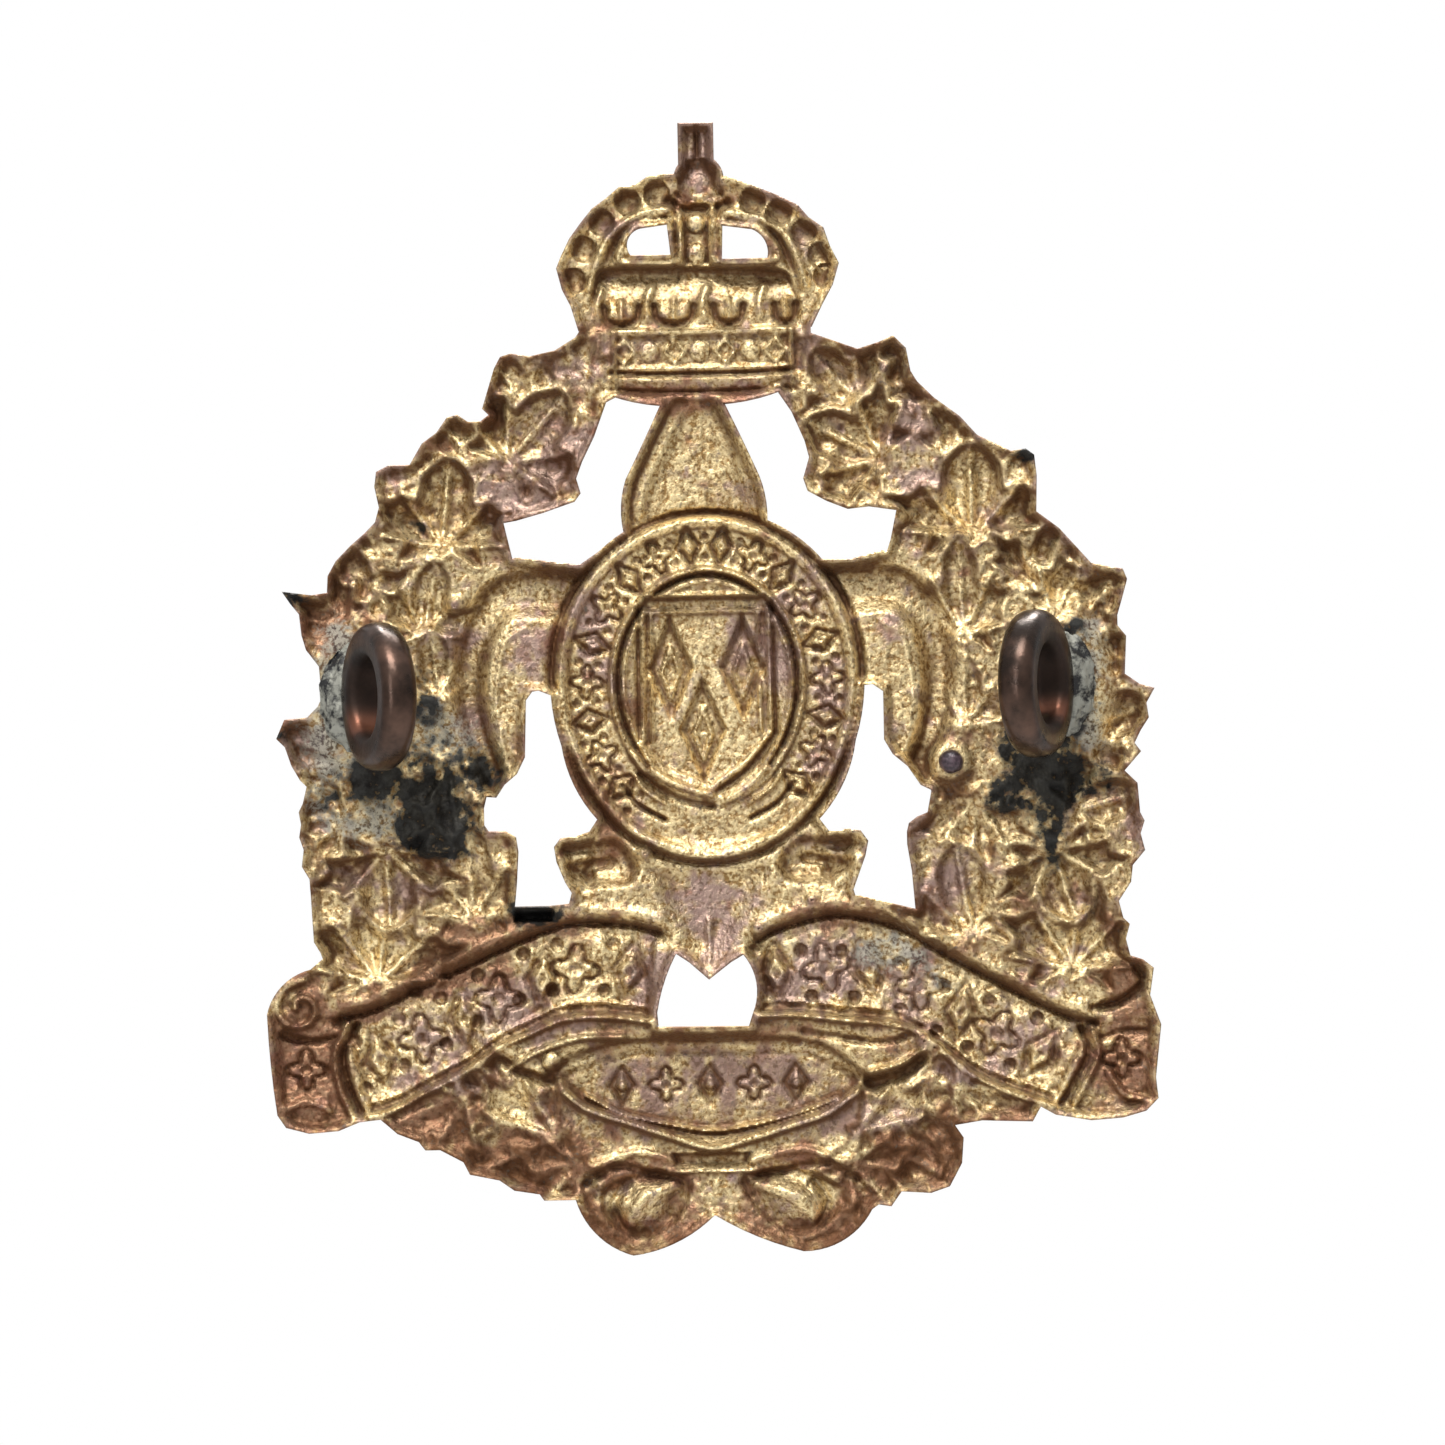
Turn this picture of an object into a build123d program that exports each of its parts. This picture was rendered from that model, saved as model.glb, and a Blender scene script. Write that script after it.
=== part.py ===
from build123d import *
from math import cos, pi, radians, sin
import os

# Die-struck, pierced badge. X is right seen from the front, Z is up, the front faces -Y.
# The origin is the middle of the retaining pin that would run through both loop eyes.

# ------------------------------------------------------------ sheet dimensions, mm
SHEET_BACK = 3.5      # pin line to the flat back rim of the struck sheet
SHEET_T = 1.2         # thickness over a plain strip, die marks included
RELIEF = 0.9          # raised work in front of the plain strip
HOLLOW = 0.8          # hollow behind raised work, cut from the back
RIM = 0.45            # least width of rim left around a hollow
CHASE = 0.3           # depth of a fine line pressed into the back

# ------------------------------------------------------------ loops and joints, mm
LOOP_OUT_D = 7.0      # copper loop, outside diameter
WIRE_D = 1.7          # wire of the loop
EYE_R = 1.9           # hole through the loop, on its flat inner land
LEAN = 21.0           # degrees the loops lean in toward the centre line
LOOP_X = {"left": -15.65, "right": 15.35}   # where each eye crosses the pin line
BRAZE_W = 3.4         # brazing mound across the wire
BRAZE_L = 5.2         # brazing mound along the wire
BRAZE_H = 1.35        # brazing mound height
SPILL_D = 1.2         # stray bead of solder
SPILL_AT = (-11.65, -3.6)

# ------------------------------------------------------------ crown, mm
BEAD_R = 0.5
BEADS = ((1.8, 23.7), (3.25, 23.3), (4.45, 22.3), (5.3, 21.1),
         (-2.7, 23.4), (-3.9, 22.7), (-5.1, 21.7), (-5.8, 20.85))
ORB_AT = (-0.2, 24.3)
ORB_R = 1.05
CAP_TOP = 20.2
BAND_TOP = 17.2

# A maple leaf of unit length, stalk end at the origin, right half of the outline.
LEAF_HALF = ((0, 0), (0.16, -0.1), (0.42, -0.06), (0.34, 0.12), (0.64, 0.2), (0.52, 0.34),
             (0.72, 0.58), (0.46, 0.55), (0.36, 0.72), (0.2, 0.66), (0.14, 0.86), (0, 1.02))


# ------------------------------------------------------------ drawing helpers
def straight(*pts):
    """A run of straight edges."""
    return [Line(a, b) for a, b in zip(pts, pts[1:])]


def smooth(*pts):
    """A run of arcs, each through three points in turn, with a line to an odd one out."""
    edges = [ThreePointArc(*pts[i:i + 3]) for i in range(0, len(pts) - 2, 2)]
    if len(pts) % 2 == 0:
        edges.append(Line(pts[-2], pts[-1]))
    return edges


def face_of(*runs):
    """Closed face from runs laid end to end, straight lines closing any gap."""
    edges = []
    for run, after in zip(runs, runs[1:] + runs[:1]):
        edges += run
        finish = run[-1] @ 1
        start = after[0] @ 0
        if (finish - start).length > 1e-6:
            edges.append(Line(finish, start))
    return make_face(edges)


def polygon(*pts):
    return Polygon(*pts, align=None)


def ovoid(half, cx):
    """Egg outline from its right half, mirrored about x = cx."""
    right = [(cx + x, z) for x, z in half]
    left = [(cx - x, z) for x, z in reversed(half[:-1])]
    return face_of(smooth(*(right + left)))


def cut(face, *others):
    """Largest face left once the neighbouring regions are taken away."""
    for other in others:
        face = face - other
    return Sketch() + max(face.faces(), key=lambda f: f.area)


def slab(face, back, thick):
    """Prism of a front-view face, measured from the pin line toward the front."""
    return extrude(Plane.XZ.offset(back) * face, amount=thick, dir=(0, -1, 0))


def leaf(x, z, angle, size, scale=1.0):
    """Maple leaf growing from (x, z); angle 0 points up, positive turns it to +X."""
    half = [(px * 1.02, pz) for px, pz in LEAF_HALF]
    pts = half + [(-px, pz) for px, pz in reversed(half[1:-1])]
    a = radians(angle)
    out = []
    for px, pz in pts:
        u = px * scale * size
        v = (0.45 + (pz - 0.45) * scale) * size
        out.append((x + u * cos(a) + v * sin(a), z - u * sin(a) + v * cos(a)))
    return polygon(*out)


def inset(face, by):
    """The face drawn in from its edge; a notch that jams one distance passes the next."""
    for share in (1.0, 0.93, 0.86, 0.8, 0.7):
        try:
            drawn_in = offset(face, amount=-by * share, kind=Kind.ARC)
        except (RuntimeError, ValueError):
            continue
        if drawn_in.faces():
            return drawn_in
    return face


def struck(face, pads=(), hollows=(), lines=(), rim=RIM):
    """One region of the sheet: raised pads in front, hollows and chased lines behind."""
    body = slab(face, SHEET_BACK, SHEET_T)
    for pad in pads:
        raised = pad & face
        if raised.faces():
            body += slab(raised, SHEET_BACK + SHEET_T, RELIEF)
    pressed = [(hollow, HOLLOW) for hollow in hollows] + [(line, CHASE) for line in lines]
    for shape, depth in pressed:
        pocket = shape & (inset(face, rim) if rim else face)
        if pocket.faces():
            body -= slab(pocket, SHEET_BACK, depth)
    return max(body.solids(), key=lambda s: s.volume)


def ribbon_line(width, *pts):
    """A narrow strip of constant width along a smooth line."""
    path = Spline(*pts)
    there = [path @ (i / 12) for i in range(13)]
    side = [(path % (i / 12)).rotate(Axis.Z, 90) * (width / 2) for i in range(13)]
    left = [tuple(p + s)[:2] for p, s in zip(there, side)]
    right = [tuple(p - s)[:2] for p, s in zip(there, side)]
    return polygon(*(left + right[::-1]))


def spray(face, leaves):
    """A spray of maple leaves, each one raised in front and hollow behind."""
    pads = [leaf(*one) for one in leaves]
    hollows = [leaf(*one, scale=0.72) for one in leaves]
    return struck(face, pads, hollows)


def moved(x, z):
    return Location((x, z, 0))


# ------------------------------------------------------------ outlines, centre
belt_outer = ovoid(((0, 8.6), (3.95, 7.55), (6.5, 4.7), (7.45, 1.2), (7.0, -2.5), (5.4, -6.0),
                    (3.0, -7.75), (0, -8.35)), -0.15)
belt_inner = ovoid(((0, 5.2), (2.5, 4.5), (4.0, 2.2), (4.25, -0.4), (3.5, -3.4), (1.8, -4.95),
                    (0, -5.35)), -0.15)

finial = face_of(straight((-0.95, 25.24), (-0.95, 27.0), (0.75, 27.0), (0.75, 25.03)),
                 smooth((0.75, 25.03), (-0.2, 23.1), (-0.95, 25.24)))

arches_whole = polygon(
    (-6.8, CAP_TOP), (-6.4, 21.0), (-6.1, 21.9), (-5.4, 22.4), (-4.9, 23.0), (-3.9, 23.5),
    (-2.7, 24.0), (-1.6, 24.4), (-0.2, 24.6), (1.3, 24.6), (2.2, 24.5), (2.8, 24.1), (3.6, 24.0),
    (4.2, 23.5), (4.9, 23.0), (5.4, 22.4), (6.0, 21.6), (6.4, 20.8), (6.65, CAP_TOP))
window_right = face_of(straight((1.35, 22.2), (1.2, 20.75), (3.1, 20.75)),
                       smooth((3.1, 20.75), (3.25, 21.1), (2.5, 22.05), (1.35, 22.2)))
window_left = face_of(straight((-1.3, 22.1), (-1.25, 20.5), (-3.4, 20.5)),
                      smooth((-3.4, 20.5), (-3.4, 21.1), (-2.7, 21.9), (-1.3, 22.1)))
arches = cut(arches_whole, window_right, window_left, finial)

cap = polygon((-5.45, BAND_TOP), (-6.0, 18.3), (-6.5, 19.2), (-6.8, CAP_TOP), (6.65, CAP_TOP),
              (6.4, 19.2), (6.0, 18.4), (5.65, BAND_TOP))
band = face_of(straight((4.2, 14.1), (4.1, 15.2), (4.6, BAND_TOP), (-5.0, BAND_TOP),
                        (-4.6, 15.2), (-4.0, 14.2)),
               smooth((-4.0, 14.2), (-2.4, 13.75), (0.1, 13.6), (3.0, 13.75), (4.2, 14.1)))

top_petal = cut(face_of(smooth((1.7, 13.9), (2.7, 11.8), (3.55, 10.1), (3.8, 8.6), (3.6, 7.2)),
                        smooth((-3.1, 7.4), (-3.15, 8.7), (-2.8, 10.2), (-2.0, 12.0),
                               (-1.1, 13.9))),
                belt_outer, band)
right_petal = cut(face_of(straight((4.6, 6.9), (5.8, 6.1), (7.0, 6.25), (8.8, 6.5)),
                          smooth((8.8, 6.5), (11.2, 5.1), (12.3, 1.5), (11.9, -1.9), (10.6, -4.85)),
                          straight((10.0, -4.9), (9.6, -4.3), (9.0, -3.8), (8.6, -3.0),
                                   (8.5, -0.3), (8.2, 0.1), (7.9, 0.15), (6.8, -0.3))),
                  belt_outer)
left_petal = cut(face_of(straight((-4.6, 6.8), (-5.6, 6.15), (-7.0, 6.1), (-8.6, 6.5)),
                         smooth((-8.6, 6.5), (-10.9, 5.2), (-12.1, 2.0), (-11.9, -1.6),
                                (-10.7, -4.95)),
                         straight((-10.2, -4.7), (-9.6, -3.8), (-8.9, -3.2), (-8.5, -2.5),
                                  (-8.5, -0.2), (-8.0, 0.15), (-7.6, 0.1), (-6.8, -0.3))),
                 belt_outer)
foot = cut(polygon((-3.6, -7.0), (-3.3, -9.5), (-2.6, -10.9), (-1.6, -12.6), (-1.0, -12.95),
                   (0.05, -13.75), (1.0, -12.9), (1.6, -12.5), (2.5, -11.2), (3.3, -9.5),
                   (3.6, -7.0)),
           belt_outer)

# ------------------------------------------------------------ outlines, ribbons
right_scroll = cut(
    face_of(smooth((2.2, -11.3), (4.0, -10.25), (6.0, -9.95), (7.6, -10.1)),
            straight((7.6, -10.1), (9.3, -10.1)),
            smooth((9.3, -10.1), (12.0, -12.1), (15.0, -13.8), (18.0, -14.8)),
            straight((18.0, -12.9), (18.4, -12.4), (19.0, -12.9)),
            smooth((19.0, -12.9), (20.5, -13.8), (21.1, -15.0), (21.0, -17.0), (20.7, -19.8)),
            straight((20.3, -20.4), (19.2, -20.7), (17.8, -20.6), (16.8, -20.2), (15.8, -20.1)),
            smooth((15.8, -20.1), (13.5, -18.9), (11.0, -17.5), (8.5, -16.2), (5.5, -15.5),
                   (2.5, -15.9)),
            smooth((2.55, -15.3), (2.3, -14.2), (1.6, -12.5))),
    foot)
left_scroll = cut(
    face_of(smooth((-2.2, -11.5), (-4.5, -10.2), (-7.2, -9.9), (-9.9, -10.6)),
            smooth((-9.9, -10.6), (-12.5, -12.7), (-15.5, -14.4), (-18.2, -15.4)),
            straight((-20.9, -14.9), (-21.4, -16.3), (-21.1, -18.8), (-21.2, -19.8),
                     (-20.6, -20.4), (-19.5, -20.7), (-18.0, -20.8), (-16.3, -20.5),
                     (-15.6, -20.1)),
            smooth((-15.6, -20.1), (-13.2, -19.1), (-11.0, -17.5), (-8.5, -16.1), (-5.5, -15.6),
                   (-1.8, -16.0)),
            smooth((-2.0, -15.4), (-2.2, -14.0), (-1.6, -12.6))),
    foot)
right_barb = cut(polygon((3.0, -7.2), (5.2, -6.0), (5.6, -6.6), (6.2, -6.8), (7.0, -6.9),
                         (7.3, -7.3), (7.2, -8.0), (6.8, -9.0), (6.5, -9.5), (6.8, -10.6),
                         (2.6, -11.4)),
                 belt_outer, foot, right_scroll)
left_barb = cut(polygon((-3.0, -7.2), (-5.2, -6.0), (-5.8, -6.8), (-6.7, -6.7), (-7.3, -6.8),
                        (-7.65, -7.3), (-7.5, -8.0), (-7.2, -8.8), (-6.9, -9.6), (-7.2, -10.6),
                        (-2.6, -11.4)),
                belt_outer, foot, left_scroll)
tablet = face_of(smooth((-7.3, -18.8), (-5.4, -17.4), (-3.5, -16.95), (0.2, -16.85),
                        (4.0, -16.9), (6.0, -17.4), (7.5, -18.2)),
                 smooth((7.5, -18.2), (6.0, -19.8), (3.6, -20.8), (0.2, -21.6), (-3.0, -21.0),
                        (-5.6, -20.2), (-7.3, -18.8)))
tie_ribbon = cut(polygon((-10.4, -15.8), (-3.6, -15.2), (-1.8, -16.0), (2.5, -15.95),
                         (4.2, -15.2), (10.4, -15.8), (10.9, -17.3), (9.8, -18.6), (8.0, -19.5),
                         (6.2, -20.5), (3.0, -21.6), (-2.8, -21.7), (-6.2, -20.8), (-8.0, -19.6),
                         (-9.9, -18.8), (-10.9, -17.3)),
                 right_scroll, left_scroll, tablet)
bow_knot = cut(polygon((-2.3, -21.2), (2.4, -21.2), (2.0, -23.1), (0.1, -23.4), (-1.9, -23.1)),
               tie_ribbon, tablet)
bow_right = cut(face_of(straight((0.0, -22.9), (2.0, -21.4), (5.6, -20.5), (7.2, -21.6),
                                 (6.6, -24.1)),
                        smooth((6.6, -24.1), (5.6, -25.8), (3.9, -26.8), (1.8, -26.2),
                               (0.0, -24.95))),
                tie_ribbon, tablet, bow_knot)
bow_left = cut(face_of(straight((0.0, -22.9), (-2.0, -21.4), (-5.8, -20.7), (-7.6, -21.8),
                                (-7.5, -24.8)),
                       smooth((-7.5, -24.8), (-6.2, -26.2), (-4.2, -26.75), (-2.0, -26.0),
                              (0.0, -24.95))),
               tie_ribbon, tablet, bow_knot, bow_right)

# ------------------------------------------------------------ outlines, leaves
right_upper = cut(
    polygon((3.8, 14.1), (3.8, 17.2), (5.6, 17.2), (5.8, 16.9), (6.8, 16.3), (8.0, 16.05),
            (8.9, 16.2), (9.4, 16.05), (9.7, 15.5), (10.3, 13.6), (10.0, 13.3), (10.4, 13.0),
            (11.0, 13.0), (11.5, 13.35), (12.0, 13.2), (12.5, 12.5), (13.2, 12.0), (13.8, 11.0),
            (14.8, 11.0), (15.4, 10.7), (15.5, 10.0), (15.3, 9.0), (15.5, 8.3), (16.0, 7.8),
            (14.3, 6.2), (11.6, 7.4), (9.0, 6.4), (9.4, 8.15), (8.8, 8.25), (7.5, 8.6), (6.0, 9.1),
            (5.7, 9.5), (5.9, 10.2), (5.6, 11.0), (5.0, 12.2), (4.4, 13.8)),
    band, cap, right_petal)
right_middle = cut(
    polygon((16.0, 7.8), (16.7, 7.2), (17.4, 6.5), (17.8, 5.8), (17.85, 5.0), (18.6, 4.9),
            (20.0, 5.1), (19.6, 4.5), (19.2, 4.0), (19.1, 3.0), (18.9, 2.3), (18.3, 1.5),
            (18.2, 0.0), (18.4, -0.4), (18.9, -0.9), (20.0, -1.0), (20.4, -1.9), (20.0, -2.3),
            (19.7, -3.2), (19.3, -3.9), (19.0, -4.2), (19.2, -5.0), (19.4, -5.4), (19.3, -6.0),
            (19.4, -6.6), (14.3, -6.9), (9.1, -6.8), (9.6, -6.5), (10.4, -6.5), (10.6, -6.2),
            (10.6, -5.4), (10.5, -5.0), (10.0, -3.0), (10.0, 4.0), (9.0, 6.4), (11.6, 7.4),
            (14.3, 6.2)),
    right_petal)
right_lower = cut(
    polygon((9.1, -6.8), (9.0, -7.5), (9.1, -9.0), (9.25, -10.4), (9.5, -12.0), (18.4, -15.5),
            (18.4, -12.4), (18.5, -12.1), (18.8, -11.6), (18.9, -9.5), (18.95, -8.6),
            (19.3, -8.0), (19.2, -7.2), (19.4, -6.6), (14.3, -6.9)),
    right_scroll)
left_upper = cut(
    polygon((-3.8, 14.1), (-3.8, 17.2), (-5.4, 17.2), (-5.4, 16.9), (-6.5, 16.5), (-7.6, 16.1),
            (-8.6, 16.4), (-9.3, 16.7), (-9.9, 16.1), (-10.1, 15.0), (-10.4, 14.5), (-11.2, 13.7),
            (-12.4, 12.8), (-13.2, 11.9), (-14.8, 11.1), (-15.5, 11.2), (-15.9, 10.9),
            (-16.0, 9.9), (-15.95, 8.2), (-14.5, 6.4), (-11.6, 7.3), (-8.8, 6.4), (-9.0, 7.0),
            (-9.3, 8.4), (-8.0, 8.6), (-7.0, 8.5), (-6.0, 8.9), (-5.1, 9.4), (-4.9, 10.0),
            (-5.2, 11.0), (-5.0, 11.8), (-4.4, 13.2)),
    band, cap, left_petal)
left_middle = cut(
    polygon((-15.95, 8.2), (-17.0, 7.4), (-17.8, 6.5), (-18.5, 5.7), (-19.4, 5.5), (-20.0, 5.4),
            (-20.2, 4.9), (-20.0, 4.2), (-19.7, 3.2), (-19.7, 2.7), (-20.1, 2.2), (-20.0, 0.4),
            (-20.7, -0.1), (-21.4, -0.3), (-21.0, -1.0), (-21.1, -1.7), (-20.7, -2.3),
            (-20.4, -2.9), (-20.7, -3.3), (-19.9, -4.2), (-20.5, -4.8), (-20.6, -6.2),
            (-20.8, -6.6), (-14.0, -6.8), (-9.5, -6.9), (-9.6, -6.5), (-10.0, -6.2),
            (-10.5, -6.0), (-10.7, -5.0), (-10.2, -3.5), (-10.2, 4.0), (-8.8, 6.4), (-11.6, 7.3),
            (-14.5, 6.4)),
    left_petal)
left_lower = cut(
    polygon((-9.5, -6.9), (-9.5, -7.5), (-9.7, -8.8), (-9.9, -11.5), (-18.5, -16.0),
            (-20.9, -14.9), (-21.1, -13.6), (-20.6, -13.2), (-20.0, -13.0), (-19.8, -12.2),
            (-20.0, -11.5), (-19.7, -11.2), (-19.5, -10.4), (-20.1, -9.5), (-20.2, -8.7),
            (-20.8, -8.0), (-20.6, -7.2), (-20.8, -6.6), (-14.0, -6.8)),
    left_scroll)
right_under = cut(
    polygon((5.6, -20.3), (6.2, -24.4), (6.6, -24.1), (8.1, -24.1), (8.3, -23.8), (9.5, -23.6),
            (10.2, -23.1), (11.6, -22.8), (11.9, -22.2), (13.0, -21.6), (13.7, -21.6),
            (14.0, -21.2), (15.0, -20.8), (15.8, -20.1), (13.5, -18.6), (10.0, -16.4)),
    right_scroll, tie_ribbon, tablet, bow_right)
left_under = cut(
    polygon((-5.6, -20.3), (-6.8, -25.3), (-7.8, -24.6), (-8.4, -24.7), (-8.9, -24.0),
            (-10.3, -24.1), (-11.2, -23.8), (-11.8, -22.7), (-11.9, -21.5), (-11.5, -20.9),
            (-12.8, -20.7), (-15.2, -20.8), (-15.6, -20.1), (-13.2, -18.8), (-10.0, -16.3)),
    left_scroll, tie_ribbon, tablet, bow_left)


# ------------------------------------------------------------ regions of the sheet
def beads(radius):
    return [moved(x, z) * Circle(radius) for x, z in BEADS]


def lozenge(x, z, w, h):
    return polygon((x - w / 2, z), (x, z + h / 2), (x + w / 2, z), (x, z - h / 2))


def build_arches():
    return struck(arches, beads(BEAD_R + 0.15), beads(BEAD_R - 0.1), rim=0)


def build_finial():
    orb = moved(*ORB_AT)
    return struck(finial, [orb * Circle(ORB_R)], [orb * Circle(ORB_R - 0.3)], rim=0)


def build_cap():
    swags = [moved(x, 18.5) * SlotOverall(2.3, w, 90)
             for x, w in ((-4.2, 1.8), (-1.6, 2.0), (1.2, 2.0), (3.8, 1.8))]
    return struck(cap, [inset(cap, 0.3)], swags)


def build_band():
    jewels = [lozenge(x, 16.1, 1.2, 1.0) for x in (-3.2, -1.6, 0.0, 1.6, 3.1)]
    return struck(band, [inset(band, 0.35)], jewels)


def build_belt():
    """The strap: raised in front, with a running lozenge ornament pressed in."""
    ring = cut(belt_outer, belt_inner)
    studs = []
    for i in range(18):
        a = 2 * pi * i / 18
        studs.append(lozenge(-0.15 + 5.75 * sin(a), 0.1 + 6.8 * cos(a), 0.9, 1.0))
    return struck(ring, [ring], studs)


def build_shield():
    charges = [lozenge(-1.8, 1.8, 1.3, 2.8), lozenge(1.6, 1.8, 1.3, 2.8),
               lozenge(-0.1, -1.9, 1.3, 3.2)]
    shield = polygon((-3.1, 4.0), (3.0, 4.0), (3.0, -2.2), (-0.1, -4.5), (-3.1, -2.2))
    inner = inset(shield, 0.28)
    return struck(belt_inner, [shield], charges, [shield - inner])


def build_petal(face, spine):
    return struck(face, [inset(face, 0.5)], [ribbon_line(1.6, *spine)])


def build_scroll(face, upper):
    return struck(face, [inset(face, 0.5)], [], [ribbon_line(0.5, *upper)])


def build_tablet():
    plate = inset(tablet, 0.5)
    studs = [lozenge(x, -18.9, 1.1, 1.3) for x in (-3.6, -1.7, 0.2, 2.1, 4.0)]
    return struck(tablet, [plate], studs)


def build_bow(face, x, z):
    return struck(face, [inset(face, 0.5)], [moved(x, z) * SlotOverall(3.4, 2.2)])


# ------------------------------------------------------------ loops and joints
def loop_plane(side):
    """Plane of one leaning ring: its normal is the axis of the eye."""
    lean = radians(LEAN)
    out = 1 if side == "right" else -1
    return Plane(origin=(LOOP_X[side], 0, 0), x_dir=(0, 0, 1),
                 z_dir=(out * cos(lean), sin(lean), 0))


def build_loop(side):
    """Wire ring with a narrow flat land worn round the inside of the eye."""
    mid = (LOOP_OUT_D - WIRE_D) / 2
    wire = Pos(mid, 0) * Circle(WIRE_D / 2)
    land = Pos(EYE_R / 2, 0) * Rectangle(EYE_R, WIRE_D)
    profile = Plane.XZ * (wire - land)
    ring = revolve(profile, Axis.Z, 360)
    return (loop_plane(side) * ring).solid()


def foot_x(side):
    lean = radians(LEAN)
    out = 1 if side == "right" else -1
    return LOOP_X[side] + out * SHEET_BACK * sin(lean) / cos(lean)


def build_braze(side, loop):
    plane = Plane(origin=(foot_x(side), -SHEET_BACK, 0), x_dir=(1, 0, 0), z_dir=(0, 1, 0))
    mound = extrude(plane * SlotOverall(BRAZE_L, BRAZE_W, 90), amount=BRAZE_H, taper=28)
    mound -= loop
    return max(mound.solids(), key=lambda s: s.volume)


def build_spill():
    ball = Pos(SPILL_AT[0], -SHEET_BACK, SPILL_AT[1]) * Sphere(SPILL_D / 2)
    room = Box(3 * SPILL_D, SPILL_D, 3 * SPILL_D, align=(Align.CENTER, Align.MIN, Align.CENTER))
    return (ball & (Pos(SPILL_AT[0], -SHEET_BACK, SPILL_AT[1]) * room)).solid()


# ------------------------------------------------------------ build and write
def build():
    parts = {
        "crown_finial": build_finial(),
        "crown_arches": build_arches(),
        "crown_cap": build_cap(),
        "crown_band": build_band(),
        "fleur_top_petal": build_petal(top_petal, ((0.3, 13.0), (0.4, 11.0), (0.4, 9.6))),
        "fleur_right_petal": build_petal(right_petal, ((7.6, 4.8), (9.8, 3.6), (10.6, 0.6),
                                                       (10.2, -2.6))),
        "fleur_left_petal": build_petal(left_petal, ((-7.6, 4.8), (-9.8, 3.6), (-10.6, 0.6),
                                                     (-10.3, -2.6))),
        "fleur_foot": build_petal(foot, ((0.0, -9.2), (0.0, -10.6), (0.0, -12.2))),
        "fleur_right_barb": build_petal(right_barb, ((4.4, -7.9), (5.4, -8.0), (6.3, -7.8))),
        "fleur_left_barb": build_petal(left_barb, ((-4.4, -7.9), (-5.4, -8.0), (-6.5, -7.8))),
        "belt_ring": build_belt(),
        "shield_field": build_shield(),
        "right_scroll": build_scroll(right_scroll, ((3.0, -11.6), (6.5, -11.2), (10.0, -12.4),
                                                    (14.0, -14.3), (17.5, -15.7))),
        "left_scroll": build_scroll(left_scroll, ((-3.0, -11.8), (-6.5, -11.0), (-10.0, -12.3),
                                                  (-14.0, -14.6), (-18.0, -16.4))),
        "tablet": build_tablet(),
        "tie_ribbon": struck(tie_ribbon),
        "bow_knot": struck(bow_knot, [inset(bow_knot, 0.3)]),
        "bow_right": build_bow(bow_right, 3.6, -24.4),
        "bow_left": build_bow(bow_left, -4.0, -24.4),
        "right_upper_leaves": spray(right_upper, ((6.6, 14.2, 50, 2.6), (9.2, 11.2, -70, 4.2),
                                                  (9.6, 11.6, 20, 4.4), (12.3, 7.0, 8, 4.6))),
        "right_middle_leaves": spray(right_middle, ((14.2, 3.4, -10, 3.6), (16.6, 3.0, 30, 3.6),
                                                    (17.4, -3.6, 70, 2.8))),
        "right_lower_leaves": spray(right_lower, ((11.2, -11.0, -8, 4.2), (15.6, -13.4, 12, 4.8),
                                                  (16.4, -8.6, 80, 2.6))),
        "left_upper_leaves": spray(left_upper, ((-7.8, 13.8, -30, 2.8), (-8.6, 11.2, 60, 4.2),
                                                (-9.8, 11.2, -40, 4.0), (-13.0, 7.2, -10, 4.6))),
        "left_middle_leaves": spray(left_middle, ((-14.2, 3.4, 10, 3.6), (-17.2, 3.0, -40, 3.4),
                                                  (-18.0, -3.6, -80, 3.0))),
        "left_lower_leaves": spray(left_lower, ((-12.0, -11.6, 8, 4.6), (-16.4, -14.0, -10, 5.0),
                                                (-17.6, -9.0, -80, 2.8))),
        "right_under_leaves": spray(right_under, ((8.2, -21.4, 120, 4.4),
                                                  (11.6, -19.4, 110, 3.2))),
        "left_under_leaves": spray(left_under, ((-7.6, -21.4, -140, 3.4),
                                                (-10.0, -20.2, -110, 3.4))),
        "solder_spill": build_spill(),
    }
    for side in ("left", "right"):
        loop = build_loop(side)
        parts[side + "_loop"] = loop
        parts[side + "_braze"] = build_braze(side, loop)
    return parts


os.makedirs("parts", exist_ok=True)
for name, solid in build().items():
    solid.label = name
    export_step(solid, f"parts/{name}.step")
    print(name, round(solid.volume, 2), solid.is_valid)
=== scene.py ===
# %% [markdown]
# # A die-struck cap badge, seen from behind
# The badge is one sheet of gilding metal pressed between two dies, then pierced. Each hollow in
# its back is raised work on its front. The sheet is made the way it was struck: one relief for
# the whole badge, then one piece of sheet for each region, trimmed to its own outline.

# %% Load the frame
import math
import bmesh
import bpy
import numpy as np
from mathutils import Matrix, Vector
from mathutils import noise as soft


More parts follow.
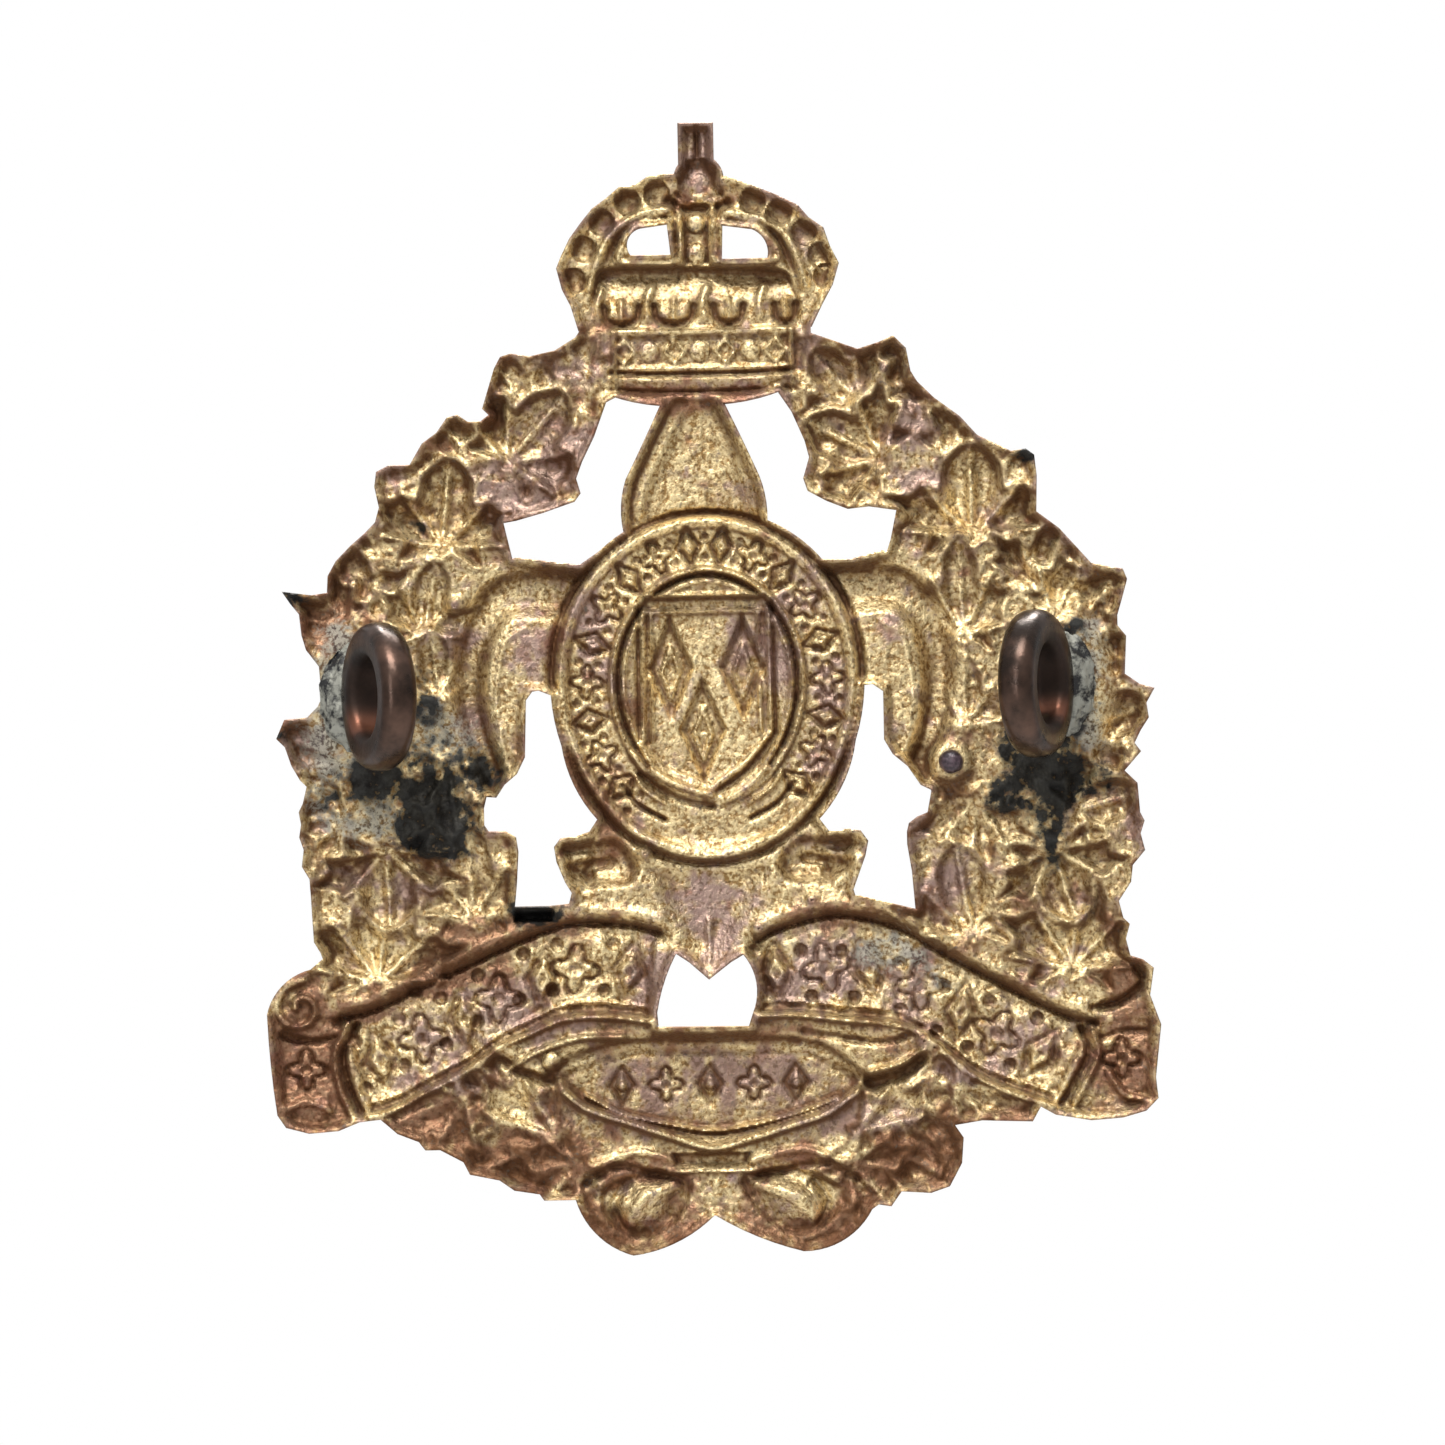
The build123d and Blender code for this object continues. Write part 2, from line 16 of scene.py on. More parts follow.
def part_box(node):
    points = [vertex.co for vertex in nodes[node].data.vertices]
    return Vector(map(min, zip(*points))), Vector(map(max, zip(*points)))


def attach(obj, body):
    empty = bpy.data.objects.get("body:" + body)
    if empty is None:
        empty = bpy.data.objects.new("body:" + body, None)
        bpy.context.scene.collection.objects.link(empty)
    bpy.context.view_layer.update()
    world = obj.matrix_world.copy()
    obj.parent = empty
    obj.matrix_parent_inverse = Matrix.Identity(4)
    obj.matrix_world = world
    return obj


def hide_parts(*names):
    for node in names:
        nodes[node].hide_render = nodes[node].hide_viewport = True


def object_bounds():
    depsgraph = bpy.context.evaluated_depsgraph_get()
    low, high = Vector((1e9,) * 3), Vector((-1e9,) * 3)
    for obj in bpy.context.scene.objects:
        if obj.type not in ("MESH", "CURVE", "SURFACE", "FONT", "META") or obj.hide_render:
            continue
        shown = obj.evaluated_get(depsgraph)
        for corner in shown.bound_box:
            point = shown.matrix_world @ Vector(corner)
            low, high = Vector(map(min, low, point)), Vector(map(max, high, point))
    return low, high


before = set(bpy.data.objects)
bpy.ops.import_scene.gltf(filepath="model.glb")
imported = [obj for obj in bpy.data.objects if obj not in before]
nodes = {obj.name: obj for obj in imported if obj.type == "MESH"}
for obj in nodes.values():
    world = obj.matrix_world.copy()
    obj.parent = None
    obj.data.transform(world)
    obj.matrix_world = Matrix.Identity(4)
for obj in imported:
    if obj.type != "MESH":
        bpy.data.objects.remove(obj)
cad_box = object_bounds()
MM = 0.001
print("CAD nodes:", len(nodes))

# %% [markdown]
# ## The die
# The relief is a height map: one number for each point of a fine square lattice over the badge,
# saying how far the back of the sheet lies below its flat rim, in millimetres. Sculpting each
# hollow on its own mesh would be slow, and neighbours wouldn't meet. Numbers on one lattice are
# quick to press and agree everywhere.

# %% The lattice of the die
PITCH = 0.08                       # millimetres between lattice points
RIM_PLANE = 3.5                    # pin line to the flat rim of the sheet
GAUGE = 0.55                       # thickness of the struck sheet
MARGIN = 0.4                       # lattice kept beyond an outline
low, high = [Vector(v) / MM for v in cad_box]
x_axis = np.arange(low.x - MARGIN, high.x + MARGIN, PITCH)
z_axis = np.arange(low.z - MARGIN, high.z + MARGIN, PITCH)
X, Z = np.meshgrid(x_axis, z_axis)
depth = np.zeros_like(X)
seams = np.zeros_like(X)           # 1 along the outline of each leaf, where the colour is darkened
print("die lattice:", X.shape)


def window(x0, x1, z0, z1):
    """The part of the lattice that covers a box, as two slices."""
    i0, i1 = np.searchsorted(x_axis, (x0, x1))
    j0, j1 = np.searchsorted(z_axis, (z0, z1))
    return slice(max(j0 - 1, 0), j1 + 1), slice(max(i0 - 1, 0), i1 + 1)


# %% [markdown]
# ## The outline of each region
# The badge is pierced, so its outline matters most. It could be traced again here, but the CAD
# nodes already hold it: their faces that look back tile it. Laid flat and merged, they give the
# trimming shape, and the same triangles filled on the lattice say where there is metal.

# %% Trimming shapes
def flat_outline(name):
    """A bmesh of the node's outline, flat in the XZ plane, from its faces that look back."""
    bm = bmesh.new()
    bm.from_mesh(nodes[name].data)
    bmesh.ops.remove_doubles(bm, verts=bm.verts, dist=1e-7)
    bm.normal_update()
    away = [f for f in bm.faces if f.normal.y < 0.9]
    bmesh.ops.delete(bm, geom=away, context="FACES")
    for v in bm.verts:
        v.co.y = 0.0
    bmesh.ops.remove_doubles(bm, verts=bm.verts, dist=2e-6)
    return bm


def close_pinhole(bm):
    """One more face on the left barb, where it, the foot and the scroll leave a pinhole."""
    corners = [min(bm.verts, key=lambda v: (v.co - Vector(spot) * MM).length)
               for spot in ((-2.66, 0, -10.78), (-2.62, 0, -11.16))]
    meeting = bmesh.ops.create_vert(bm, co=Vector((-2.3, 0, -11.4)) * MM)["vert"]
    bmesh.ops.contextual_create(bm, geom=corners + meeting)


metal = np.zeros(X.shape, bool)
LOOPS = ("left_loop", "right_loop", "left_braze", "right_braze", "solder_spill")
regions = sorted(n for n in nodes if n not in LOOPS)
outlines = {}
for name in regions:
    outlines[name] = flat_outline(name)
    if name == "fleur_left_barb":
        close_pinhole(outlines[name])
    for face in outlines[name].faces:
        (ax, az), (bx, bz), (cx, cz) = [(v.co.x / MM, v.co.z / MM) for v in face.verts[:3]]
        w = window(min(ax, bx, cx), max(ax, bx, cx), min(az, bz, cz), max(az, bz, cz))
        px, pz = X[w], Z[w]
        e1 = (bx - ax) * (pz - az) - (bz - az) * (px - ax)
        e2 = (cx - bx) * (pz - bz) - (cz - bz) * (px - bx)
        e3 = (ax - cx) * (pz - cz) - (az - cz) * (px - cx)
        metal[w] |= ((e1 >= 0) & (e2 >= 0) & (e3 >= 0)) | ((e1 <= 0) & (e2 <= 0) & (e3 <= 0))
print("regions:", len(regions), "area mm2:", round(metal.sum() * PITCH ** 2, 1))


# %% [markdown]
# ## Rims
# Along every edge the die left a flat rim. A bevel could make one, but the edge is ragged and a
# bevel would cross itself. A distance map does it safely: it says how far each point lies from
# the nearest edge of the metal, and only the first millimetre matters.

# %% Distance from the edge of the metal
def edge_distance(mask, reach):
    """How far each point of the mask lies from the nearest point outside it, up to reach."""
    far = np.full(mask.shape, reach)
    steps = int(reach / PITCH)
    padded = np.pad(mask, steps, constant_values=False)
    h, w = mask.shape
    for dj in range(-steps, steps + 1):
        for di in range(-steps, steps + 1):
            r = math.hypot(di, dj) * PITCH
            if 0 < r < reach:
                out = ~padded[steps + dj:steps + dj + h, steps + di:steps + di + w]
                far[out] = np.minimum(far[out], r)
    far[~mask] = 0.0
    return far


RIM_REACH = 0.9
edge = edge_distance(metal, RIM_REACH)
print("points near an edge:", int((edge < RIM_REACH).sum() - (~metal).sum()))

# %% [markdown]
# ## Paths
# An engraver works along lines, so a path is a row of points in millimetres. Blender's own curves
# could carry it, but here only distances are needed. These functions bend a path into a smooth
# curve, measure how far the lattice lies from it, and tell inside from outside.


# %% Paths
def smooth01(t):
    t = np.clip(t, 0.0, 1.0)
    return t * t * (3 - 2 * t)


def curve(points, closed=False, n=6):
    """A smooth path through a few points (Catmull-Rom), n steps between each pair."""
    p = np.array(points, float)
    p = np.vstack([p[-1], p, p[0], p[1]]) if closed else np.vstack([2 * p[0] - p[1], p,
                                                                    2 * p[-1] - p[-2]])
    out = []
    for a, b, c, d in zip(p, p[1:], p[2:], p[3:]):
        for t in np.arange(n) / n:
            out.append(0.5 * (2 * b + (c - a) * t + (2 * a - 5 * b + 4 * c - d) * t * t
                              + (3 * b - a - 3 * c + d) * t ** 3))
    if not closed:
        out.append(p[-2])
    return np.array(out)


def path_distance(px, pz, path, closed=False):
    """Distance to the nearest point of a path, and how far along it that point is, 0 to 1."""
    a = path
    b = np.roll(path, -1, axis=0)
    if not closed:
        a, b = a[:-1], b[:-1]
    best = np.full(px.shape, 1e9)
    along = np.zeros(px.shape)
    for k, ((ax, az), (bx, bz)) in enumerate(zip(a, b)):
        dx, dz = bx - ax, bz - az
        t = np.clip(((px - ax) * dx + (pz - az) * dz) / max(dx * dx + dz * dz, 1e-12), 0, 1)
        r = np.hypot(px - ax - t * dx, pz - az - t * dz)
        near = r < best
        best = np.where(near, r, best)
        along = np.where(near, (k + t) / len(a), along)
    return best, along


def inside(px, pz, path):
    """Which points lie inside a closed path."""
    result = np.zeros(px.shape, bool)
    for (ax, az), (bx, bz) in zip(path, np.roll(path, -1, axis=0)):
        if az == bz:
            continue
        crosses = ((az > pz) != (bz > pz)) & (px < (bx - ax) * (pz - az) / (bz - az) + ax)
        result ^= crosses
    return result


def around(path, margin):
    (x0, z0), (x1, z1) = path.min(0) - margin, path.max(0) + margin
    return window(x0, x1, z0, z1)


print("points in a smooth path of five:", len(curve([(k, 0) for k in range(5)])))

# %% [markdown]
# ## The engraver's tools
# On the real die each shape was cut with a punch or a graver. A few tools stand in for them: a
# hollow with a sloping wall, a pressed line, a ball punch, a gutter and a slope. Each works on a
# small window of the lattice, so it is quick, and later cuts lie over earlier ones.


# %% Hollow, line, ball and gutter
def hollow(path, floor, wall=0.3, crown=0.0, keep=0.0):
    """Press the inside of a closed path down to a floor; crown lifts the middle back up."""
    w = around(path, 0.1)
    r, _ = path_distance(X[w], Z[w], path, closed=True)
    r = np.where(inside(X[w], Z[w], path), r, 0.0)
    share = smooth01(r / wall)
    level = floor - crown * smooth01((r - wall) / 1.2)
    depth[w] = depth[w] * (1 - share) + (level + keep * depth[w]) * share
    seams[w] *= 1 - share


def line(path, width, height, closed=False):
    """A line along a path: pressed down if height is positive, raised if negative."""
    w = around(path, 2 * width)
    r, _ = path_distance(X[w], Z[w], path, closed)
    depth[w] += height * np.exp(-(r / width) ** 2)


def ball(x, z, radius, height, squash=1.0):
    """A round dimple, or a round boss if height is negative."""
    w = window(x - radius, x + radius, z - radius * squash, z + radius * squash)
    r = np.hypot(X[w] - x, (Z[w] - z) / squash) / radius
    depth[w] += height * np.sqrt(np.clip(1 - r * r, 0, 1))


def channel(points, half_width, floor, width_end=None):
    """A rounded gutter along a path, as a petal or a ribbon is from behind."""
    path = curve(points)
    w = around(path, half_width + 0.2)
    r, along = path_distance(X[w], Z[w], path)
    size = half_width + ((width_end or half_width) - half_width) * along
    share = smooth01((1 - r / size) / 0.75)
    depth[w] = depth[w] * (1 - share) + floor * share
    seams[w] *= 1 - share


def tilt(path, change, z0, z1):
    """Deepen the inside of a closed path little by little from z0 to z1."""
    w = around(path, 0.1)
    r, _ = path_distance(X[w], Z[w], path, closed=True)
    share = np.where(inside(X[w], Z[w], path), smooth01(r / 0.3), 0.0)
    depth[w] += change * share * smooth01((Z[w] - z0) / (z1 - z0))


print("tools:", [tool.__name__ for tool in (hollow, line, ball, channel, tilt)])

# %% [markdown]
# ## The leaf punch
# The wreath is made of maple leaves, seen from behind as shallow bowls with thin raised veins.
# Each could be drawn by itself, but one leaf turned and sized serves for all of them. A low bank
# round it parts it from its neighbours, and a darker line marks its outline.

# %% Leaf punch
# The right half of a leaf of unit length, with the end of its stalk at the origin.
LEAF = ((0.0, -0.04), (0.12, 0.02), (0.44, -0.12), (0.42, 0.1), (0.72, 0.14), (0.6, 0.3),
        (0.86, 0.52), (0.6, 0.5), (0.46, 0.62), (0.3, 0.56), (0.26, 0.82), (0.0, 1.06))
BANK = 0.28                         # level of the metal between two leaves
SEAM = 0.15                         # reach of the darker line along a leaf's outline
VEINS = ((0.0, 1.0), (0.72, 0.86), (-0.72, 0.86), (1.45, 0.6), (-1.45, 0.6))


def leaf(x, z, angle, size, floor, lift, broad=1.0):
    """A maple leaf: hollow lobes with thin raised veins, inside a low bank."""
    half = [(px * broad, pz) for px, pz in LEAF]
    full = half + [(-px, pz) for px, pz in reversed(half[1:-1])]
    a = math.radians(angle)
    turn = lambda u, v: (x + size * (u * math.cos(a) + v * math.sin(a)),
                         z + size * (v * math.cos(a) - u * math.sin(a)))
    path = curve([turn(u, v) for u, v in full], closed=True, n=3)
    w = around(path, 0.6)
    px, pz = X[w], Z[w]
    r, _ = path_distance(px, pz, path, closed=True)
    within = inside(px, pz, path)
    bank = np.where(within, 0.0, 0.8 * np.exp(-(r / 0.3) ** 2))
    depth[w] = depth[w] * (1 - bank) + BANK * bank
    vein = np.full(px.shape, 9.0)
    for lean, reach in VEINS:
        tip = turn(reach * broad * math.sin(lean), reach * math.cos(lean) + 0.08)
        d, _ = path_distance(px, pz, np.array([turn(0, 0.08), tip]))
        vein = np.minimum(vein, d)
    bowl = 0.55 * smooth01(r / (0.055 * size)) + 0.45 * smooth01(r / (0.22 * size))
    level = BANK + 1.08 * (floor - BANK) * bowl
    seams[w] = np.maximum(np.where(within, 0.0, seams[w]), np.exp(-(r / SEAM) ** 2))
    level -= 0.75 * lift * np.exp(-(vein / 0.14) ** 2) + 0.6 * lift * np.exp(-(vein / 0.5) ** 2)
    depth[w] = np.where(within, level, depth[w])


print("points in half a leaf:", len(LEAF))

# %% [markdown]
# ## Grain and blur
# Old struck metal is never smooth. A noise texture could give the grain, but the relief has to
# carry it too, so it is worked out on the lattice. The same noise breaks up the stains, and a
# blur rounds off what is sharp.


# %% Grain and blur
def noise(period, seed):
    """Soft random relief with bumps about one period across, the same at every run."""
    rng = np.random.default_rng(seed)
    nx = int((x_axis[-1] - x_axis[0]) / period) + 4
    nz = int((z_axis[-1] - z_axis[0]) / period) + 4
    grid = rng.standard_normal((nz, nx))
    u = (X - x_axis[0]) / period
    v = (Z - z_axis[0]) / period
    i, j = u.astype(int), v.astype(int)
    s, t = smooth01(u - i), smooth01(v - j)
    top = grid[j, i] * (1 - s) + grid[j, i + 1] * s
    bottom = grid[j + 1, i] * (1 - s) + grid[j + 1, i + 1] * s
    return top * (1 - t) + bottom * t


def blur(field, radius):
    """Box blur, run twice, by running sums."""
    n = max(1, int(radius / PITCH))
    out = field
    for _ in range(2):
        for axis in (0, 1):
            padded = np.pad(out, [(n, n) if k == axis else (0, 0) for k in (0, 1)], mode="edge")
            total = np.cumsum(padded, axis=axis)
            total = np.insert(total, 0, 0, axis=axis)
            size = out.shape[axis]
            upper = np.take(total, range(2 * n + 1, size + 2 * n + 1), axis=axis)
            lower = np.take(total, range(0, size), axis=axis)
            out = (upper - lower) / (2 * n + 1)
    return out


def mirrored(points):
    return [(-x, z) for x, z in points]


print("share of noise above 0:", round(float((noise(1.0, 0) > 0).mean()), 2))

# %% [markdown]
# ## Wreath of maple leaves
# The leaves lie behind everything else, so they are cut first. Overlapping leaves are punched one
# over another, each with its own depth, so every edge leaves a step, as on the real wreath. A
# table of places is easier to correct than a random scatter would be.

# %% Leaves of the wreath
FIELD = 0.45                        # level of the metal before any leaf is punched
depth += FIELD
LEAVES = (
    # x, z, angle, size, floor, lift, breadth
    (4.8, 14.6, 74, 3.4, 0.8, 0.2, 1.0), (7.9, 13.2, 34, 3.2, 0.9, 0.25, 1.0),
    (10.8, 10.8, 32, 3.2, 0.9, 0.3, 1.0), (9.4, 10.8, -42, 4.5, 1.35, 0.4, 1.0),
    (15.0, 6.6, 40, 3.6, 0.9, 0.3, 1.0), (12.4, 6.7, -6, 4.5, 1.4, 0.45, 1.0),
    (16.2, 3.6, 14, 3.6, 1.1, 0.3, 1.0), (13.4, 2.6, -12, 3.8, 1.2, 0.4, 0.8),
    (16.6, 3.2, 76, 3.2, 1.1, 0.3, 1.0), (16.8, -3.2, 66, 3.6, 1.0, 0.3, 1.0),
    (12.6, -0.4, 6, 3.4, 0.8, 0.3, 0.8), (17.0, -5.8, 88, 2.8, 0.9, 0.3, 1.0),
    (12.2, -3.0, 184, 3.8, 0.9, 0.3, 0.8), (11.2, -11.0, 2, 4.6, 0.95, 0.3, 0.8),
    (15.8, -13.9, -6, 4.8, 1.2, 0.45, 1.1), (15.3, -7.0, 182, 4.0, 1.3, 0.45, 1.15),
    (-4.8, 14.4, -50, 3.0, 0.8, 0.2, 1.0), (-8.1, 13.7, -34, 3.2, 1.2, 0.35, 1.0),
    (-7.7, 13.5, 42, 3.3, 1.25, 0.35, 1.0), (-11.4, 10.6, -64, 4.2, 1.0, 0.3, 0.9),
    (-8.9, 10.7, 62, 4.2, 1.3, 0.4, 1.0), (-12.9, 6.7, 0, 4.7, 1.4, 0.45, 1.1),
    (-15.7, 4.2, -26, 3.7, 1.25, 0.35, 1.0), (-16.4, 3.0, -66, 4.0, 1.2, 0.35, 0.9),
    (-12.4, 2.0, 2, 5.0, 1.2, 0.4, 0.6), (-17.4, 1.2, -88, 3.6, 1.1, 0.3, 1.0),
    (-17.4, -2.2, -74, 3.8, 1.1, 0.3, 1.0), (-12.4, -2.2, 0, 3.4, 0.8, 0.3, 0.8),
    (-17.0, -6.2, -76, 3.6, 1.1, 0.35, 1.0), (-12.8, -5.2, 176, 4.0, 1.0, 0.3, 0.9),
    (-12.6, -12.2, 10, 4.6, 1.0, 0.35, 0.9), (-17.2, -14.0, -6, 5.2, 1.3, 0.45, 0.9),
    (-16.4, -7.6, 196, 3.8, 1.2, 0.4, 1.1),
)
for x, z, angle, size, floor, lift, breadth in LEAVES:
    leaf(x, z, angle, size, floor, lift, breadth)
print("leaves punched:", len(LEAVES))

# %% [markdown]
# ## Leaves below the scrolls
# More leaves spread out from under the tablet and the bow. The same punch makes them, set close
# to level and less deep, because the scrolls and the bow cover most of them.

# %% Leaves of the foot
FOOT_LEAVES = (
    # x, z, angle, size, floor, lift
    (9.4, -18.8, 128, 4.6, 1.1, 0.4), (7.0, -21.0, 112, 5.4, 0.9, 0.4),
    (11.6, -18.9, 112, 4.0, 0.7, 0.3), (6.2, -22.2, 138, 3.4, 0.8, 0.3),
    (-8.8, -18.8, -128, 4.8, 0.8, 0.4), (-6.6, -21.0, -118, 4.6, 0.9, 0.4),
    (-11.4, -19.0, -100, 3.6, 0.6, 0.3), (-6.4, -22.4, -140, 3.2, 0.8, 0.3),
)
for x, z, angle, size, floor, lift in FOOT_LEAVES:
    leaf(x, z, angle, size, floor, lift)
print("leaves of the foot:", len(FOOT_LEAVES))

# %% [markdown]
# ## Fleur-de-lis
# The petals are plain smooth hollows with one strong wall at the top, where the die cut deepest.
# They are pressed as outlines and gutters, and mirrored where the two sides match. The leaves are
# blurred a little first, as they are on a worn badge.

# %% Petals, foot and barbs
depth = blur(depth, PITCH)
top_petal = curve([(1.3, 13.9), (2.3, 11.9), (3.2, 10.1), (3.6, 8.7), (3.4, 7.4), (-2.9, 7.4),
                   (-3.0, 8.8), (-2.6, 10.3), (-1.8, 12.1), (-0.8, 13.9)], closed=True)
hollow(top_petal, 1.15, wall=1.3)
channel([(0.9, 13.6), (2.0, 11.8), (2.9, 9.8), (3.1, 8.4)], 0.5, 0.85)
line(curve([(-0.4, 13.6), (-1.2, 12.2), (-1.5, 11.2)]), 0.3, 0.2)
right_petal = [(5.4, 4.4), (7.4, 4.75), (9.4, 4.6), (10.6, 3.3), (11.15, 1.2), (11.0, -1.2),
               (10.4, -3.2), (9.9, -4.4)]
tongue = [(7.3, 2.9), (8.5, 3.1), (9.4, 2.5), (9.75, 1.2), (9.9, -0.6), (9.5, -3.0), (8.9, -3.2),
          (8.7, -0.4), (7.6, 0.4), (7.2, 1.6)]
for path, inner in ((right_petal, tongue), (mirrored(right_petal), mirrored(tongue))):
    channel(path, 1.55, 1.3, 0.75)
    line(curve(path) + (0, 0.75), 0.35, 0.15)
    hollow(curve(inner, closed=True), 0.4, wall=0.5)
    line(curve(inner[1:6]), 0.13, -0.12)
hollow(curve([(-2.9, -8.0), (2.9, -8.0), (2.6, -9.8), (1.9, -11.3), (1.2, -12.4), (0.05, -13.3),
              (-1.1, -12.4), (-1.9, -11.2), (-2.6, -9.8)], closed=True, n=4), 1.0, wall=1.2)
line(curve([(0.05, -13.4), (0.0, -12.2), (0.0, -11.0)]), 0.2, -0.25)
barb = [(4.2, -6.8), (5.8, -6.9), (7.0, -7.1), (7.1, -7.9), (6.5, -9.0), (5.2, -9.4), (3.7, -9.3),
        (3.1, -8.2)]
for side in (barb, mirrored(barb)):
    hollow(curve(side, closed=True), 1.2, wall=0.7)
    line(curve([(s[0], s[1] - 0.9) for s in side[1:4]]), 0.3, -0.45)
    line(curve([(s[0] * 0.8, s[1] - 1.2) for s in side[1:4]]), 0.3, 0.35)

print("deepest point of the petals mm:", round(float(depth[window(-12, 12, -13, 14)].max()), 2))

# %% [markdown]
# ## Ornament
# The real badge carries lettering on its belt, scrolls and tablet. It is left out: a running
# ornament of lozenges, four-lobed flowers and dots takes its place. Each mark is one short path,
# so it can be set at any place and turn.


# %% Egg, lozenge and flower
BELT_X = -0.15                      # the belt's middle lies a little to one side


def egg(right, left, top, bottom):
    """Egg outline with its own reach to each side."""
    t = np.arange(64) / 64 * 2 * math.pi
    x, z = np.sin(t), np.cos(t)
    z = np.where(z > 0, z * top, -z * bottom)
    fat = 1 + 0.04 * np.sin(t * 2) * np.sign(x)
    return np.stack([BELT_X + np.where(x > 0, x * right, x * left) * fat, z], 1)


def lozenge(x, z, w, h, turn=0.0):
    c, s = math.cos(turn), math.sin(turn)
    return np.array([(x + u * c + v * s, z - u * s + v * c)
                     for u, v in ((w / 2, 0), (0, h / 2), (-w / 2, 0), (0, -h / 2))])


def rosette(x, z, r, height, turn=0.0):
    """The outline of a four-lobed flower, with a dot in the middle."""
    t = np.arange(24) / 24 * 2 * math.pi
    reach = r * (0.78 + 0.26 * np.cos(4 * (t - turn)))
    line(np.stack([x + reach * np.sin(t), z + reach * np.cos(t)], 1), 0.12, height, closed=True)
    ball(x, z, r * 0.3, height * 0.8)


def open_below(path, gap):
    """A closed path opened at its lowest point by so many steps to each side."""
    half = len(path) // 2
    return np.roll(path, -(half + gap), axis=0)[:len(path) - 2 * gap + 1]


print("points round the belt:", len(egg(1, 1, 1, -1)))

# %% [markdown]
# ## Belt
# The belt is an egg-shaped band that stands out from the petals between two raised lines, and a
# double line rings its inner edge. Nested eggs of falling size make it. The studs stop short of
# the buckle, at the foot.

# %% Belt
hollow(egg(7.35, 7.3, 8.45, -8.2), 0.32, wall=0.2)
line(egg(7.4, 7.35, 8.5, -8.25), 0.18, 0.35, closed=True)
line(egg(6.95, 6.9, 8.05, -7.85), 0.16, -0.2, closed=True)
hollow(egg(6.75, 6.7, 7.85, -7.65), 0.58, wall=0.25)
hollow(egg(4.75, 4.75, 6.0, -5.6), 0.42, wall=0.2)
line(open_below(egg(4.55, 4.55, 5.8, -5.35), 8), 0.14, -0.28)
line(open_below(egg(4.25, 4.25, 5.5, -5.05), 8), 0.1, 0.36)
line(open_below(egg(3.98, 3.98, 5.22, -4.78), 8), 0.13, -0.26)
hollow(egg(3.75, 3.75, 4.95, -4.9), 0.5, wall=0.3)
BELT_STUDS = 23
BUCKLE = 0.62                       # half the angle that the buckle takes up
BELT_OUT, BELT_UP, BELT_DOWN = 5.75, 6.92, 6.6      # reach of the line that the studs follow
for k in range(BELT_STUDS):
    a = (k + 0.5) / BELT_STUDS * 2 * math.pi
    if abs(a - math.pi) < BUCKLE:
        continue
    x = BELT_X + BELT_OUT * math.sin(a)
    z = (BELT_UP if math.cos(a) > 0 else BELT_DOWN) * math.cos(a)
    if k % 2:
        rosette(x, z, 0.78, 0.25, a)
    else:
        line(lozenge(x, z, 1.05, 1.7, a), 0.14, 0.27, closed=True)
        line(lozenge(x, z, 0.3, 0.6, a), 0.1, -0.2, closed=True)
    c, d = math.sin(a + 0.137), math.cos(a + 0.137)
    for share in (5.3, 6.25):
        ball(BELT_X + share * c, (share + 1.05) * d, 0.24, 0.22)
for x0 in (-4.2, 4.0):
    line(curve([(x0, -4.4), (x0 * 0.8, -5.4), (x0 * 0.5, -6.1)]), 0.12, 0.35)
    line(curve([(x0 * 0.86, -3.9), (x0 * 0.72, -4.7), (x0 * 0.5, -5.3)]), 0.13, -0.3)
line(curve([(-3.3, -6.9), (-1.6, -7.3), (0.2, -7.4), (2.0, -7.2), (3.4, -6.8)]), 0.2, -0.15)
print("studs round a whole belt:", BELT_STUDS)

# %% [markdown]
# ## Shield
# Raised lines frame the shield inside the belt. Three plain lozenges take the place of its
# charges. Straight strokes with square corners are enough here, so they aren't smoothed.

# %% Shield
shield = np.array([(-3.1, 4.6), (-3.2, -2.0), (-2.0, -3.4), (-0.3, -4.6), (2.0, -3.7),
                   (3.0, -2.6), (2.9, 4.6)])
hollow(shield, 0.8, wall=0.3)
line(np.array([(-2.8, 4.55), (2.6, 4.55)]), 0.12, -0.25)
line(np.array([(-2.75, 3.75), (2.6, 3.75)]), 0.12, -0.3)
line(np.array([(-2.6, 3.6), (-2.65, -2.0)]), 0.1, -0.25)
line(np.array([(2.5, 3.6), (2.5, -2.4)]), 0.1, -0.25)
line(np.array([(3.1, 4.2), (3.15, -2.4)]), 0.12, 0.3)
line(np.array([(-3.3, 4.2), (-3.35, -2.0)]), 0.12, 0.3)
line(curve([(3.3, -3.0), (2.2, -4.0), (1.0, -4.6), (-0.3, -4.95)]), 0.2, -0.4)
line(curve([(3.1, -3.9), (2.0, -4.75), (0.9, -5.25), (-0.3, -5.5)]), 0.16, 0.3)
line(curve([(-3.3, -2.2), (-2.0, -3.75), (-0.5, -4.85)]), 0.17, 0.4)
line(curve([(-3.6, -2.9), (-2.2, -4.4), (-1.0, -5.2)]), 0.16, -0.25)
CHARGES = ((1.6, 1.1), (-1.85, 1.1), (0.1, -1.85))
for x, z in CHARGES:
    hollow(lozenge(x, z, 2.3, 5.2), 1.3, wall=0.3)
    line(lozenge(x, z, 2.1, 4.9), 0.1, 0.15, closed=True)
    line(lozenge(x, z - 0.2, 0.8, 2.4), 0.12, -0.2, closed=True)
print("charges on the shield:", len(CHARGES))

# %% [markdown]
# ## Crown
# Beads stand along the arches, so they are dimples from behind, and a ball punch makes them. Two
# raised lines run round the windows, and a deep step marks where the cap goes behind the arches.
# The windows themselves are holes in the outline.

